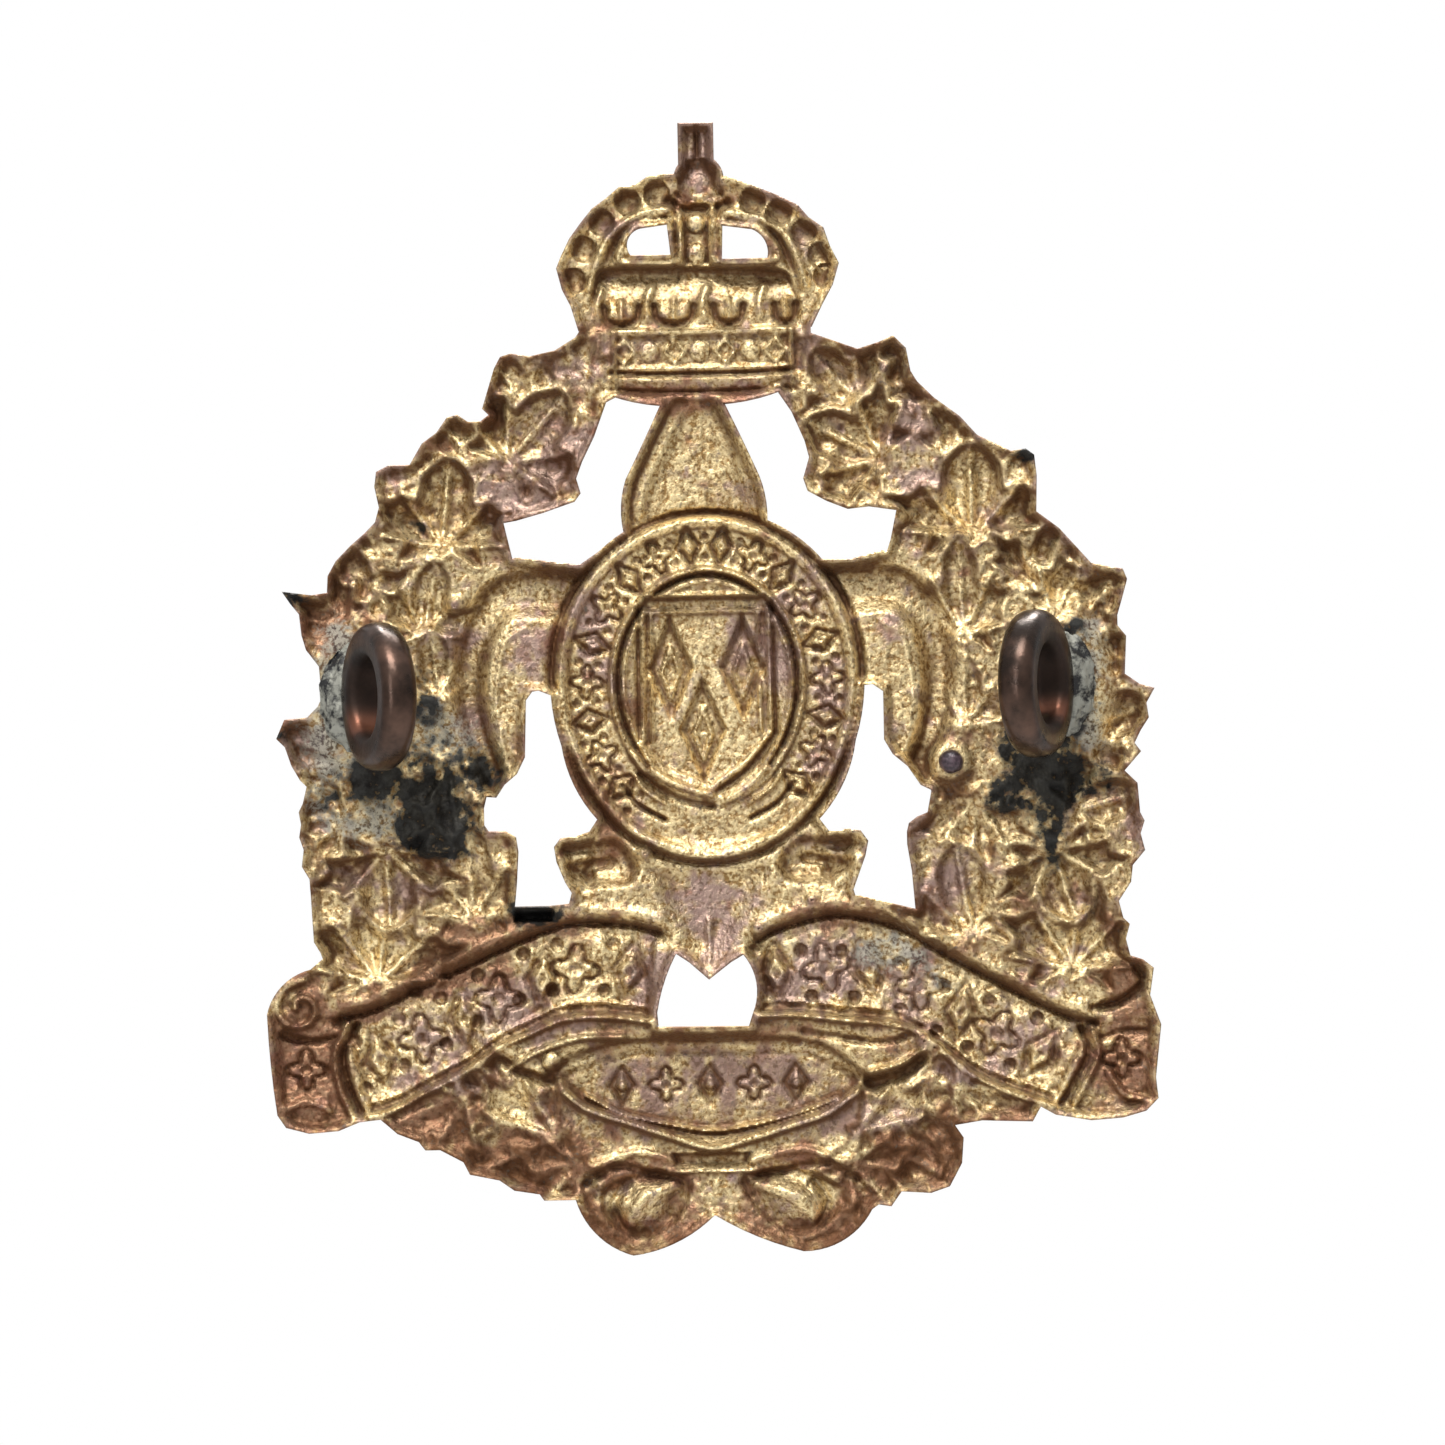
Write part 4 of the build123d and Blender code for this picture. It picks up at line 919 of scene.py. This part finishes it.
# %% The six maps
maps = {
    # patina and painted shade from the relief, the darker line round each leaf, tarnish and the
    # dull rim film, all lessened where a painted highlight lies
    "brown": np.clip(brown + 0.75 * seams * (1 - 0.7 * faces_up)
                     + (tarnish + 0.42 * film) * (0.8 + 0.8 * wobble) - 0.5 * painted_highlight_spots, 0, 1),
    # wear on raised edges and painted highlights, less along the rims
    "bright": np.clip(bright * (1 - 0.8 * film) + 0.7 * painted_highlight_spots, 0, 1),
    "scorch": np.clip(blur(scorch, 0.4) * 1.15 + 1.5 * wobble * smooth01(scorch * 2), 0, 1),
    "flux": np.clip(blur(flux, 0.4) * 1.2 + wobble * smooth01(flux * 2), 0, 1),
    "plum": np.clip(0.1 + blur(plum, 0.5) * 0.9 + wobble * 0.8 + 0.3 * film, 0, 1),
    "rose": np.clip(0.1 + blur(rose, 0.5) * 0.9 + 0.8 * wobble[::-1, ::-1] - 0.9 * painted_highlight_spots, 0, 1),
}
print("maps:", {k: round(float(v[metal].mean()), 3) for k, v in maps.items()})

# %% [markdown]
# ## Striking the sheet
# The real sheet was pressed between two dies. A displacement modifier could push a plane about,
# but both skins have to move together and stay closed. So a grid of faces becomes a slab, and the
# die sets both of its skins. Meeting pieces share one relief, so no seam shows.


# %% Strike a slab
def lookup(field, x, z):
    """Value of a lattice field at points between the lattice's own."""
    u = np.clip((x - x_axis[0]) / PITCH, 0, X.shape[1] - 1.001)
    v = np.clip((z - z_axis[0]) / PITCH, 0, X.shape[0] - 1.001)
    i, j = u.astype(int), v.astype(int)
    s, t = u - i, v - j
    top = field[j, i] * (1 - s) + field[j, i + 1] * s
    return top * (1 - t) + (field[j + 1, i] * (1 - s) + field[j + 1, i + 1] * s) * t


def points_of(mesh):
    co = np.zeros(len(mesh.vertices) * 3, np.float32)
    mesh.vertices.foreach_get("co", co)
    return co.reshape(-1, 3).astype(float)


def object_from(bm, name):
    mesh = bpy.data.meshes.new(name)
    bm.to_mesh(mesh)
    bm.free()
    obj = bpy.data.objects.new(name, mesh)
    bpy.context.scene.collection.objects.link(obj)
    return obj


def slab(name):
    """A slab of grid faces over the region's box, pushed to shape by the die."""
    box_low, box_high = [Vector(v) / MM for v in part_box(name)]
    w = window(box_low.x - MARGIN, box_high.x + MARGIN, box_low.z - MARGIN, box_high.z + MARGIN)
    xs, zs = x_axis[w[1]], z_axis[w[0]]
    bm = bmesh.new()
    bmesh.ops.create_grid(bm, x_segments=len(xs) - 1, y_segments=len(zs) - 1, size=0.5)
    place = (Matrix.Translation(((xs[0] + xs[-1]) / 2, 0, (zs[0] + zs[-1]) / 2))
             @ Matrix.Rotation(math.pi / 2, 4, "X")
             @ Matrix.Diagonal((xs[-1] - xs[0], zs[-1] - zs[0], 1, 1)))
    bmesh.ops.transform(bm, matrix=place, verts=bm.verts)
    skin = bmesh.ops.extrude_face_region(bm, geom=bm.faces[:])
    moved = [v for v in skin["geom"] if isinstance(v, bmesh.types.BMVert)]
    bmesh.ops.translate(bm, verts=moved, vec=(0, 1, 0))
    bmesh.ops.recalc_face_normals(bm, faces=bm.faces)
    obj = object_from(bm, name + "_slab")
    co = points_of(obj.data)
    down = lookup(depth, co[:, 0], co[:, 2])
    co[:, 1] = -RIM_PLANE - down - np.where(co[:, 1] > 0.5, 0.0, GAUGE)
    obj.data.vertices.foreach_set("co", (co * MM).ravel())
    return obj


print("sheet gauge mm:", GAUGE)

# %% [markdown]
# ## Trimming the sheet
# The real sheet was pierced after striking. Here a prism of the region's own outline trims the
# slab with a boolean, which leaves clean upright walls. What is left gets sharp edges where it
# was cut, and every point of it takes its values from the six maps.


# %% Trim a slab
def cutter(name):
    """A prism of the region's outline, long enough to pass right through the slab."""
    bm = outlines[name]
    bmesh.ops.translate(bm, verts=bm.verts, vec=(0, MM, 0))
    skin = bmesh.ops.extrude_face_region(bm, geom=bm.faces[:])
    moved = [v for v in skin["geom"] if isinstance(v, bmesh.types.BMVert)]
    bmesh.ops.translate(bm, verts=moved, vec=(0, -10 * MM, 0))
    bmesh.ops.recalc_face_normals(bm, faces=bm.faces)
    return object_from(bm, name + "_cutter")


def trimmed(blank, shape, name):
    """The blank inside the shape, as a new mesh object."""
    cut = blank.modifiers.new("trim", "BOOLEAN")
    cut.operation = "INTERSECT"
    cut.solver = "MANIFOLD"
    cut.object = shape
    bpy.context.view_layer.update()
    ready = blank.evaluated_get(bpy.context.evaluated_depsgraph_get())
    mesh = bpy.data.meshes.new_from_object(ready)
    mesh.name = name
    obj = bpy.data.objects.new(name, mesh)
    bpy.context.scene.collection.objects.link(obj)
    for old in (blank, shape):
        bpy.data.objects.remove(old)
    return obj


SHARP = 0.9                         # radians between faces that meet in a sharp edge


def crease(obj):
    """Smooth shading, but sharp edges where faces meet at more than the angle SHARP."""
    bm = bmesh.new()
    bm.from_mesh(obj.data)
    bmesh.ops.remove_doubles(bm, verts=bm.verts, dist=1e-7)
    for face in bm.faces:
        face.smooth = True
    for e in bm.edges:
        e.smooth = len(e.link_faces) == 2 and e.calc_face_angle(0) < SHARP
    bm.to_mesh(obj.data)
    bm.free()


def record_maps(obj):
    """Give each point its map values; the torch marked the back of the sheet only."""
    co = points_of(obj.data) / MM
    above = co[:, 1] + RIM_PLANE + lookup(depth, co[:, 0], co[:, 2])     # 0 back, -GAUGE front
    back = smooth01(1.5 + 2 * above / GAUGE)
    for key, field in maps.items():
        value = lookup(field, co[:, 0], co[:, 2])
        if key in ("scorch", "flux"):
            value = value * back
        layer = obj.data.attributes.new(key, "FLOAT", "POINT")
        layer.data.foreach_set("value", value.astype(np.float32))


print("maps on each piece:", list(maps))

# %% [markdown]
# ## All the regions
# Each region of the sheet is struck, trimmed and marked in the same way, so one loop makes them
# all. Each struck piece replaces the CAD node it came from.

# %% Strike every region
struck = []
faces = 0
for name in regions:
    piece = trimmed(slab(name), cutter(name), name + "_struck")
    crease(piece)
    record_maps(piece)
    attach(piece, "root")
    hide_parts(name)
    struck.append(piece)
    faces += len(piece.data.polygons)
print("struck pieces:", len(struck), "faces:", faces)

# %% [markdown]
# ## Loops
# A loop is a ring of copper wire that takes the pin. A torus would be too perfect: the real
# section is a slightly squared circle with a narrow flat worn on the inside. So the section is
# drawn, spun once round the axis of the eye, and then the ring is leaned over.

# %% Wire loops
LEAN = math.radians(21)
WIRE_R = 0.85                       # millimetres, as are the next three
RING_R = 2.65
LAND = 1.9                          # radius of the worn flat in the eye
LOOP_X = {"left": -15.65, "right": 15.35}


def loop_frame(side):
    """Turns ring space (axis along Z) to the leaning plane of one loop."""
    out = 1 if side == "right" else -1
    axis = Vector((out * math.cos(LEAN), math.sin(LEAN), 0))
    up = Vector((0, 0, 1))
    across = axis.cross(up)
    turn = Matrix((up, across, axis)).transposed().to_4x4()
    return Matrix.Translation((LOOP_X[side], 0, 0)) @ turn


def wire_loop(side):
    bm = bmesh.new()
    ring = bmesh.ops.create_circle(bm, cap_ends=False, segments=28, radius=WIRE_R)
    bmesh.ops.transform(bm, matrix=Matrix.Translation((RING_R, 0, 0))
                        @ Matrix.Rotation(math.pi / 2, 4, "X"), verts=bm.verts)
    for v in bm.verts:
        square_x, square_z = (v.co.x - RING_R) / WIRE_R, v.co.z / WIRE_R
        fuller = 1 + 0.16 * (2 * square_x * square_z) ** 2
        v.co.x = max(RING_R + square_x * WIRE_R * min(fuller, 1.06), LAND)
        v.co.z = square_z * WIRE_R * fuller
    bmesh.ops.spin(bm, geom=bm.verts[:] + bm.edges[:], cent=(0, 0, 0), axis=(0, 0, 1),
                   dvec=(0, 0, 0), angle=2 * math.pi, steps=96, use_merge=True,
                   use_duplicate=False)
    bmesh.ops.remove_doubles(bm, verts=bm.verts, dist=1e-4)
    bmesh.ops.recalc_face_normals(bm, faces=bm.faces)
    bmesh.ops.transform(bm, matrix=Matrix.Scale(MM, 4) @ loop_frame(side), verts=bm.verts)
    for face in bm.faces:
        face.smooth = True
    return object_from(bm, side + "_wire_loop")


def record_eye_glint_and_shade(obj, side):
    """Where a painted copper glint lies low on the far inside of the eye, and painted shade over
    the rest of its inside.
    """
    local = np.array([loop_frame(side).inverted() @ (v.co / MM) for v in obj.data.vertices])
    far = local[:, 1] * (1 if side == "right" else -1)
    reach = np.hypot(local[:, 0], local[:, 1])
    # a painted copper glint low on the far inside of the eye
    lighter_share = smooth01((2.8 - reach) / 0.6) * smooth01(far - 0.4) \
        * smooth01((-0.2 - local[:, 0]) / 1.1) * smooth01((local[:, 0] + 2.3) / 0.8)
    # painted shade over the rest of the inside of the eye
    hidden = smooth01((2.65 - reach) / 0.7) * (1 - 0.8 * lighter_share)
    for key, field in (("eye", lighter_share), ("hidden", hidden)):
        layer = obj.data.attributes.new(key, "FLOAT", "POINT")
        layer.data.foreach_set("value", field.astype(np.float32))


print("eye of a loop, mm across:", 2 * LAND)

# %% [markdown]
# ## Brazing
# The brazing metal ran round the foot of each loop and froze in a lumpy fillet. A bevel between
# loop and sheet would look machined. So it starts as a ball: the top half climbs toward the wire,
# the lower half is nearly flat, and soft noise makes it uneven. A stray bead of solder froze on
# its own.


# %% Braze fillets and the stray bead
def foot_x(side):
    return LOOP_X[side] + (1 if side == "right" else -1) * RIM_PLANE * math.tan(LEAN)


def lumpy(obj, amount, scale, seed):
    """Push each point along its normal by soft noise."""
    shift = Vector((seed * 3.1, seed * 1.7, seed * 5.3))
    normals = [v.normal.copy() for v in obj.data.vertices]
    for v, n in zip(obj.data.vertices, normals):
        v.co += n * (amount * soft.noise(v.co / MM * scale + shift)) * MM


def braze(side):
    bm = bmesh.new()
    bmesh.ops.create_uvsphere(bm, u_segments=72, v_segments=40, radius=1.0)
    for v in bm.verts:
        flat = math.hypot(v.co.x, v.co.y)
        climb = max(0.0, 1 - flat) ** 0.75
        v.co.z = climb * 1.35 if v.co.z > 0 else v.co.z * 0.12
    spread = Matrix.Diagonal((1.62, 2.5, 1.0, 1.0))
    stand = Matrix.Rotation(-math.pi / 2, 4, "X")
    place = Matrix.Translation((foot_x(side), -RIM_PLANE - 0.02, 0)) @ stand @ spread
    bmesh.ops.transform(bm, matrix=Matrix.Scale(MM, 4) @ place, verts=bm.verts)
    bmesh.ops.recalc_face_normals(bm, faces=bm.faces)
    for face in bm.faces:
        face.smooth = True
    obj = object_from(bm, side + "_braze_fillet")
    lumpy(obj, 0.22, 1.3, 3 if side == "left" else 5)
    lumpy(obj, 0.12, 3.5, 9)
    return obj


def stray_bead():
    low_corner, high_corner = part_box("solder_spill")
    middle = (low_corner + high_corner) / 2
    bm = bmesh.new()
    bmesh.ops.create_icosphere(bm, subdivisions=4, radius=0.56)
    squat = Matrix.Translation(Vector((middle.x / MM, -RIM_PLANE, middle.z / MM))) \
        @ Matrix.Diagonal((1.0, 0.95, 1.04, 1.0))
    bmesh.ops.transform(bm, matrix=Matrix.Scale(MM, 4) @ squat, verts=bm.verts)
    for face in bm.faces:
        face.smooth = True
    obj = object_from(bm, "stray_solder_bead")
    lumpy(obj, 0.08, 1.8, 2)
    return obj


print("feet of the loops at x:", [round(foot_x(side), 2) for side in LOOP_X])

# %% [markdown]
# ## Placing the loops
# Both loops, their fillets and the bead are fixed to the sheet, so nothing moves and all of them
# ride with the root. Each takes the place of its own CAD node.

# %% Loops, fillets and bead
loops, fillets = [], []
for side in ("left", "right"):
    ring = wire_loop(side)
    record_eye_glint_and_shade(ring, side)
    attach(ring, "root")
    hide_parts(side + "_loop")
    loops.append(ring)
    fillet = braze(side)
    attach(fillet, "root")
    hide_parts(side + "_braze")
    fillets.append(fillet)
bead = stray_bead()
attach(bead, "root")
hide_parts("solder_spill")
print("loops:", [o.name for o in loops], "fillets:", [o.name for o in fillets])

# %% [markdown]
# ## Materials
# A look made of many layers is a long tree of nodes, and hard to read link by link. Sums are
# easier, so a small class wraps a socket and turns Python operators into Math nodes. Colours go
# through Mix nodes, because Math would turn them grey.


# %% A socket that does sums
class Wire:
    """An output socket of one material's tree, with operators that add Math nodes."""

    def __init__(self, tree, socket):
        self.tree, self.socket = tree, socket

    def math(self, operation, other, swap=False):
        pair = (other, self) if swap else (self, other)
        return Wire.node(self.tree, "ShaderNodeMath", {"operation": operation},
                         {0: pair[0], 1: pair[1]})

    def __add__(self, other):
        return self.math("ADD", other)

    def __sub__(self, other):
        return self.math("SUBTRACT", other)

    def __rsub__(self, other):
        return self.math("SUBTRACT", other, swap=True)

    def __mul__(self, other):
        return self.math("MULTIPLY", other)

    def clamped(self):
        out = self.math("MULTIPLY", 1.0)
        out.socket.node.use_clamp = True
        return out

    __radd__, __rmul__ = __add__, __mul__

    @staticmethod
    def node(tree, kind, settings=None, inputs=None, output=0):
        """Any node: its settings first, then the values or links of its sockets."""
        made = tree.nodes.new(kind)
        for key, value in (settings or {}).items():
            if key == "stops":
                scale = made.color_ramp
                while len(scale.elements) < len(value):
                    scale.elements.new(0.5)
                for element, (place, tone) in zip(scale.elements, value):
                    element.position = place
                    element.color = tone
            else:
                setattr(made, key, value)
        for key, value in (inputs or {}).items():
            socket = made.inputs[key]
            if isinstance(value, Wire):
                tree.links.new(value.socket, socket)
            else:
                socket.default_value = value
        return Wire(tree, made.outputs[output])


print("sums a socket can do:", [n for n in ("__add__", "__sub__", "__mul__") if hasattr(Wire, n)])


# %% Short names for common nodes
def blend(tree, share, a, b):
    """Mix of two colours."""
    return Wire.node(tree, "ShaderNodeMix", {"data_type": "RGBA"}, {0: share, 6: a, 7: b}, 2)


def noise_of(tree, place, scale, detail, roughness):
    return Wire.node(tree, "ShaderNodeTexNoise", None,
                     {"Vector": place, "Scale": scale, "Detail": detail, "Roughness": roughness})


def ramp(tree, value, low_end, high_end):
    """Stretch the part of a value between two limits to run from 0 to 1."""
    return Wire.node(tree, "ShaderNodeMapRange", {"clamp": True},
                     {"Value": value, "From Min": low_end, "From Max": high_end})


def new_material(name):
    material = bpy.data.materials.new(name)
    material.use_nodes = True
    tree = material.node_tree
    return material, tree, tree.nodes["Principled BSDF"]


def link(tree, wire, shader, name):
    tree.links.new(wire.socket, shader.inputs[name])


def attribute(tree, name):
    return Wire.node(tree, "ShaderNodeAttribute", {"attribute_name": name}, None, "Fac")


# %% [markdown]
# ## Gilding metal
# Gilding metal is a golden brass. Several tones lie over one another: pale gold on the worn grain,
# with painted highlights on walls that face up, deeper gold below it, olive, plum and rose tarnish
# in patches, brown patina in the hollows together with painted shade on walls that face down, and
# small dark pits. Flux and scorch cover all of them, and are less metallic. One material serves
# the whole sheet, so its pieces match where they meet.


# %% Gilding metal
def gilding_metal():
    material, tree, shader = new_material("gilding_metal")
    place = Wire.node(tree, "ShaderNodeTexCoord", None, None, "Object")
    fleck = noise_of(tree, place, 4600.0, 2.0, 0.6)
    patch = noise_of(tree, place, 1300.0, 3.0, 0.6)
    drift = noise_of(tree, place, 240.0, 3.0, 0.6)
    # wear on raised edges, together with painted highlights on walls that face up and on a few
    # faces
    bright = attribute(tree, "bright")
    lighter_share = fleck * 0.65 + patch * 0.35 + bright * 0.06
    gold = blend(tree, ramp(tree, lighter_share, 0.40, 0.60), (0.27, 0.165, 0.065, 1),
                 (0.83, 0.68, 0.39, 1))
    olive = ramp(tree, drift + 0.25 * patch - 0.1 * bright, 0.60, 0.86)
    gold = blend(tree, olive * 0.5, gold, (0.27, 0.175, 0.085, 1))
    plum_share = ramp(tree, attribute(tree, "plum") + 0.6 * fleck + 0.8 * patch, 0.90, 1.35)
    gold = blend(tree, plum_share * 0.85, gold, (0.33, 0.225, 0.205, 1))
    rose_share = ramp(tree, attribute(tree, "rose") + 0.6 * fleck + 0.8 * patch, 0.95, 1.4)
    gold = blend(tree, rose_share * 0.85, gold, (0.235, 0.112, 0.072, 1))
    # patina, tarnish and painted shade, darkening the metal toward brown
    tarnish_and_shade = ramp(tree, attribute(tree, "brown") + 0.6 * patch + 0.6 * fleck - 0.2 * bright,
                0.66, 1.45)
    gold = blend(tree, tarnish_and_shade * 0.9, gold, (0.118, 0.050, 0.019, 1))
    pits = ramp(tree, noise_of(tree, place, 4200.0, 1.0, 0.5), 0.41, 0.34)
    gold = blend(tree, pits * 0.5, gold, (0.09, 0.045, 0.022, 1))
    crust = ramp(tree, attribute(tree, "flux") + 1.1 * fleck + 0.9 * patch, 1.2, 1.85)
    speck = blend(tree, ramp(tree, noise_of(tree, place, 4600.0, 2.0, 0.6), 0.38, 0.54),
                  (0.022, 0.022, 0.024, 1), (0.31, 0.30, 0.25, 1))
    gold = blend(tree, crust * 0.8, gold, speck)
    soot = ramp(tree, attribute(tree, "scorch") + 1.2 * fleck + 1.1 * patch, 1.35, 1.95)
    ash = blend(tree, ramp(tree, patch, 0.40, 0.60), (0.004, 0.004, 0.004, 1),
                (0.022, 0.022, 0.020, 1))
    gold = blend(tree, soot * 0.985, gold, ash)
    link(tree, gold, shader, "Base Color")
    cover = (crust * 0.8 + soot * 0.3).clamped()
    link(tree, (1 - cover * 0.8 - tarnish_and_shade * 0.2).clamped(), shader, "Metallic")
    rough = (0.42 + 0.16 * tarnish_and_shade + 0.3 * cover + 0.2 * (1 - fleck)).clamped()
    link(tree, rough, shader, "Roughness")
    height = fleck * 0.8 + patch * 1.2 + noise_of(tree, place, 7000.0, 2.0, 0.5) * 0.3
    bump = Wire.node(tree, "ShaderNodeBump", None,
                     {"Strength": 0.7, "Distance": 0.0001, "Height": height})
    link(tree, bump, shader, "Normal")
    return material


sheet_metal = gilding_metal()
for piece in struck:
    piece.data.materials.clear()
    piece.data.materials.append(sheet_metal)
print("nodes in gilding metal:", len(sheet_metal.node_tree.nodes))

# %% [markdown]
# ## Old copper, braze and solder
# The wire has gone chocolate brown and still shines, with a painted copper glint low in the eye
# and painted shade over the rest of its inside. The brazing is scorched black with pale flux on
# it. Braze and solder share one recipe with different colours, because both are dull crusts.


# %% Copper, braze and solder
def dark_copper():
    material, tree, shader = new_material("dark_copper")
    place = Wire.node(tree, "ShaderNodeTexCoord", None, None, "Object")
    cloud = noise_of(tree, place, 420.0, 4.0, 0.6)
    fine_grain = noise_of(tree, place, 2600.0, 3.0, 0.6)
    tone = blend(tree, ramp(tree, cloud, 0.40, 0.64), (0.026, 0.017, 0.013, 1),
                 (0.090, 0.052, 0.038, 1))
    # a painted copper glint low in the eye
    eye = attribute(tree, "eye")
    tone = blend(tree, (eye * ramp(tree, cloud, 0.34, 0.50)).clamped() * 0.8, tone,
                 (0.22, 0.085, 0.05, 1))
    # painted shade inside the eye
    hidden = attribute(tree, "hidden")
    tone = blend(tree, hidden * 0.72, tone, (0.009, 0.006, 0.005, 1))
    link(tree, tone, shader, "Base Color")
    shader.inputs["Metallic"].default_value = 0.8
    link(tree, (0.16 + 0.16 * cloud + 0.1 * fine_grain + 0.3 * hidden).clamped(), shader,
         "Roughness")
    bump = Wire.node(tree, "ShaderNodeBump", None,
                     {"Strength": 0.3, "Distance": 0.00006, "Height": fine_grain + cloud})
    link(tree, bump, shader, "Normal")
    return material


def crusty(name, dark, pale, share, dull=0.4):
    """A scorched skin with pale flux over part of it."""
    material, tree, shader = new_material(name)
    place = Wire.node(tree, "ShaderNodeTexCoord", None, None, "Object")
    cloud = noise_of(tree, place, 700.0, 4.0, 0.65)
    fine_grain = noise_of(tree, place, 3600.0, 3.0, 0.6)
    tone = blend(tree, ramp(tree, cloud * 0.7 + fine_grain * 0.3, share, share + 0.1), dark, pale)
    link(tree, tone, shader, "Base Color")
    shader.inputs["Metallic"].default_value = 0.3
    link(tree, (dull + 0.35 * cloud).clamped(), shader, "Roughness")
    bump = Wire.node(tree, "ShaderNodeBump", None,
                     {"Strength": 0.5, "Distance": 0.00012, "Height": cloud + fine_grain * 0.5})
    link(tree, bump, shader, "Normal")
    return material


copper = dark_copper()
for ring in loops:
    ring.data.materials.append(copper)
flux_skin = crusty("braze_flux", (0.012, 0.012, 0.013, 1), (0.26, 0.26, 0.225, 1), 0.44)
for fillet in fillets:
    fillet.data.materials.append(flux_skin)
bead.data.materials.append(crusty("solder_bead", (0.024, 0.015, 0.020, 1),
                                  (0.10, 0.066, 0.080, 1), 0.5, 0.16))
print("materials:", sorted(m.name for m in bpy.data.materials))

# %% [markdown]
# ## Floor
# The badge hangs upright above a pale floor, far enough below to stay out of sight from behind. A
# plain disc is all it needs. It is stage, not part of the badge.


# %% Floor
def pale_floor():
    bm = bmesh.new()
    bmesh.ops.create_circle(bm, cap_ends=True, segments=64, radius=2.4)
    bmesh.ops.translate(bm, verts=bm.verts, vec=(0, 0, -0.3))
    floor = object_from(bm, "floor")
    material, tree, shader = new_material("pale_floor")
    shader.inputs["Base Color"].default_value = (0.82, 0.82, 0.82, 1)
    shader.inputs["Roughness"].default_value = 0.9
    floor.data.materials.append(material)


pale_floor()
print("floor placed")

# %% [markdown]
# ## Light
# Polished metal shows what is round it, so one lamp alone would leave it black. The world is a
# gradient instead: bright above, middling ahead and dark below, so the upper wall of a hollow is
# dark and the lower wall bright. A lamp on each side lights the back and the front, and a tall
# thin strip puts a crisp line on each wire loop.

# %% Light
def studio():
    """White to look at; to light by, bright above, middling ahead and dark below."""
    world = bpy.data.worlds.new("studio")
    bpy.context.scene.world = world
    world.use_nodes = True
    tree = world.node_tree
    tree.nodes.clear()
    way = Wire.node(tree, "ShaderNodeTexCoord", None, None, "Generated")
    split = Wire.node(tree, "ShaderNodeSeparateXYZ", None, {0: way}, "Z")
    glow = Wire.node(tree, "ShaderNodeValToRGB", {"stops": (
        (0.0, (0.13, 0.12, 0.11, 1)), (0.36, (0.20, 0.19, 0.18, 1)), (0.52, (0.46, 0.46, 0.46, 1)),
        (0.80, (0.95, 0.95, 0.95, 1)), (1.0, (1.0, 1.0, 1.0, 1)))}, {0: split * 0.5 + 0.5})
    seen = Wire.node(tree, "ShaderNodeLightPath", None, None, "Is Camera Ray")
    light = Wire.node(tree, "ShaderNodeBackground", None, {"Color": glow, "Strength": 0.9})
    paper = Wire.node(tree, "ShaderNodeBackground", None, {"Color": (1, 1, 1, 1), "Strength": 1.0})
    both = Wire.node(tree, "ShaderNodeMixShader", None, {0: seen, 1: light, 2: paper})
    out = tree.nodes.new("ShaderNodeOutputWorld")
    tree.links.new(both.socket, out.inputs["Surface"])


def lamp(name, place, aim, size, power, tint=(1, 1, 1)):
    data = bpy.data.lights.new(name, "AREA")
    data.shape = "RECTANGLE"
    data.size, data.size_y = size
    data.energy = power
    data.color = tint
    obj = bpy.data.objects.new(name, data)
    bpy.context.scene.collection.objects.link(obj)
    obj.location = place
    obj.rotation_euler = (Vector(aim) - Vector(place)).to_track_quat("-Z", "Y").to_euler()


studio()
lamp("key_back", (0.03, 0.20, 0.30), (0, 0, 0), (0.20, 0.12), 1.5, (1.0, 0.985, 0.95))
lamp("key_front", (-0.03, -0.20, 0.30), (0, 0, 0), (0.20, 0.12), 2.6, (1.0, 0.985, 0.95))
lamp("strip", (0.16, 0.34, 0.05), (0, 0, 0), (0.012, 0.30), 0.35)
bpy.context.scene.view_settings.view_transform = "Standard"
print("lamps:", len(bpy.data.lights))

# %% [markdown]
# ## Camera
# A small flat thing looks right through a long lens, because a short one would swell its middle.
# This one stands 45 centimetres behind the back and sees it nearly square. The badge looks turned
# by about one degree, so the camera rolls by as much.

# %% Camera
FRAME_WIDTH = 68.68                 # millimetres seen across, at the rim of the sheet
DISTANCE = 450.0
ROLL = math.radians(-1.15)
AIM = Vector((-0.83, 0, -1.54))     # the point looked at, in millimetres
camera_data = bpy.data.cameras.new("camera")
camera_data.sensor_width = 36.0
camera_data.lens = 36.0 * DISTANCE / FRAME_WIDTH
camera_data.clip_start, camera_data.clip_end = 0.01, 20.0
camera = bpy.data.objects.new("camera", camera_data)
bpy.context.scene.collection.objects.link(camera)
camera.matrix_world = (Matrix.Translation((AIM.x * MM, (DISTANCE - RIM_PLANE) * MM, AIM.z * MM))
                       @ Matrix.Rotation(ROLL, 4, "Y")
                       @ Matrix.Rotation(math.pi, 4, "Z") @ Matrix.Rotation(math.pi / 2, 4, "X"))
bpy.context.scene.camera = camera
print("lens mm:", round(camera_data.lens, 1))
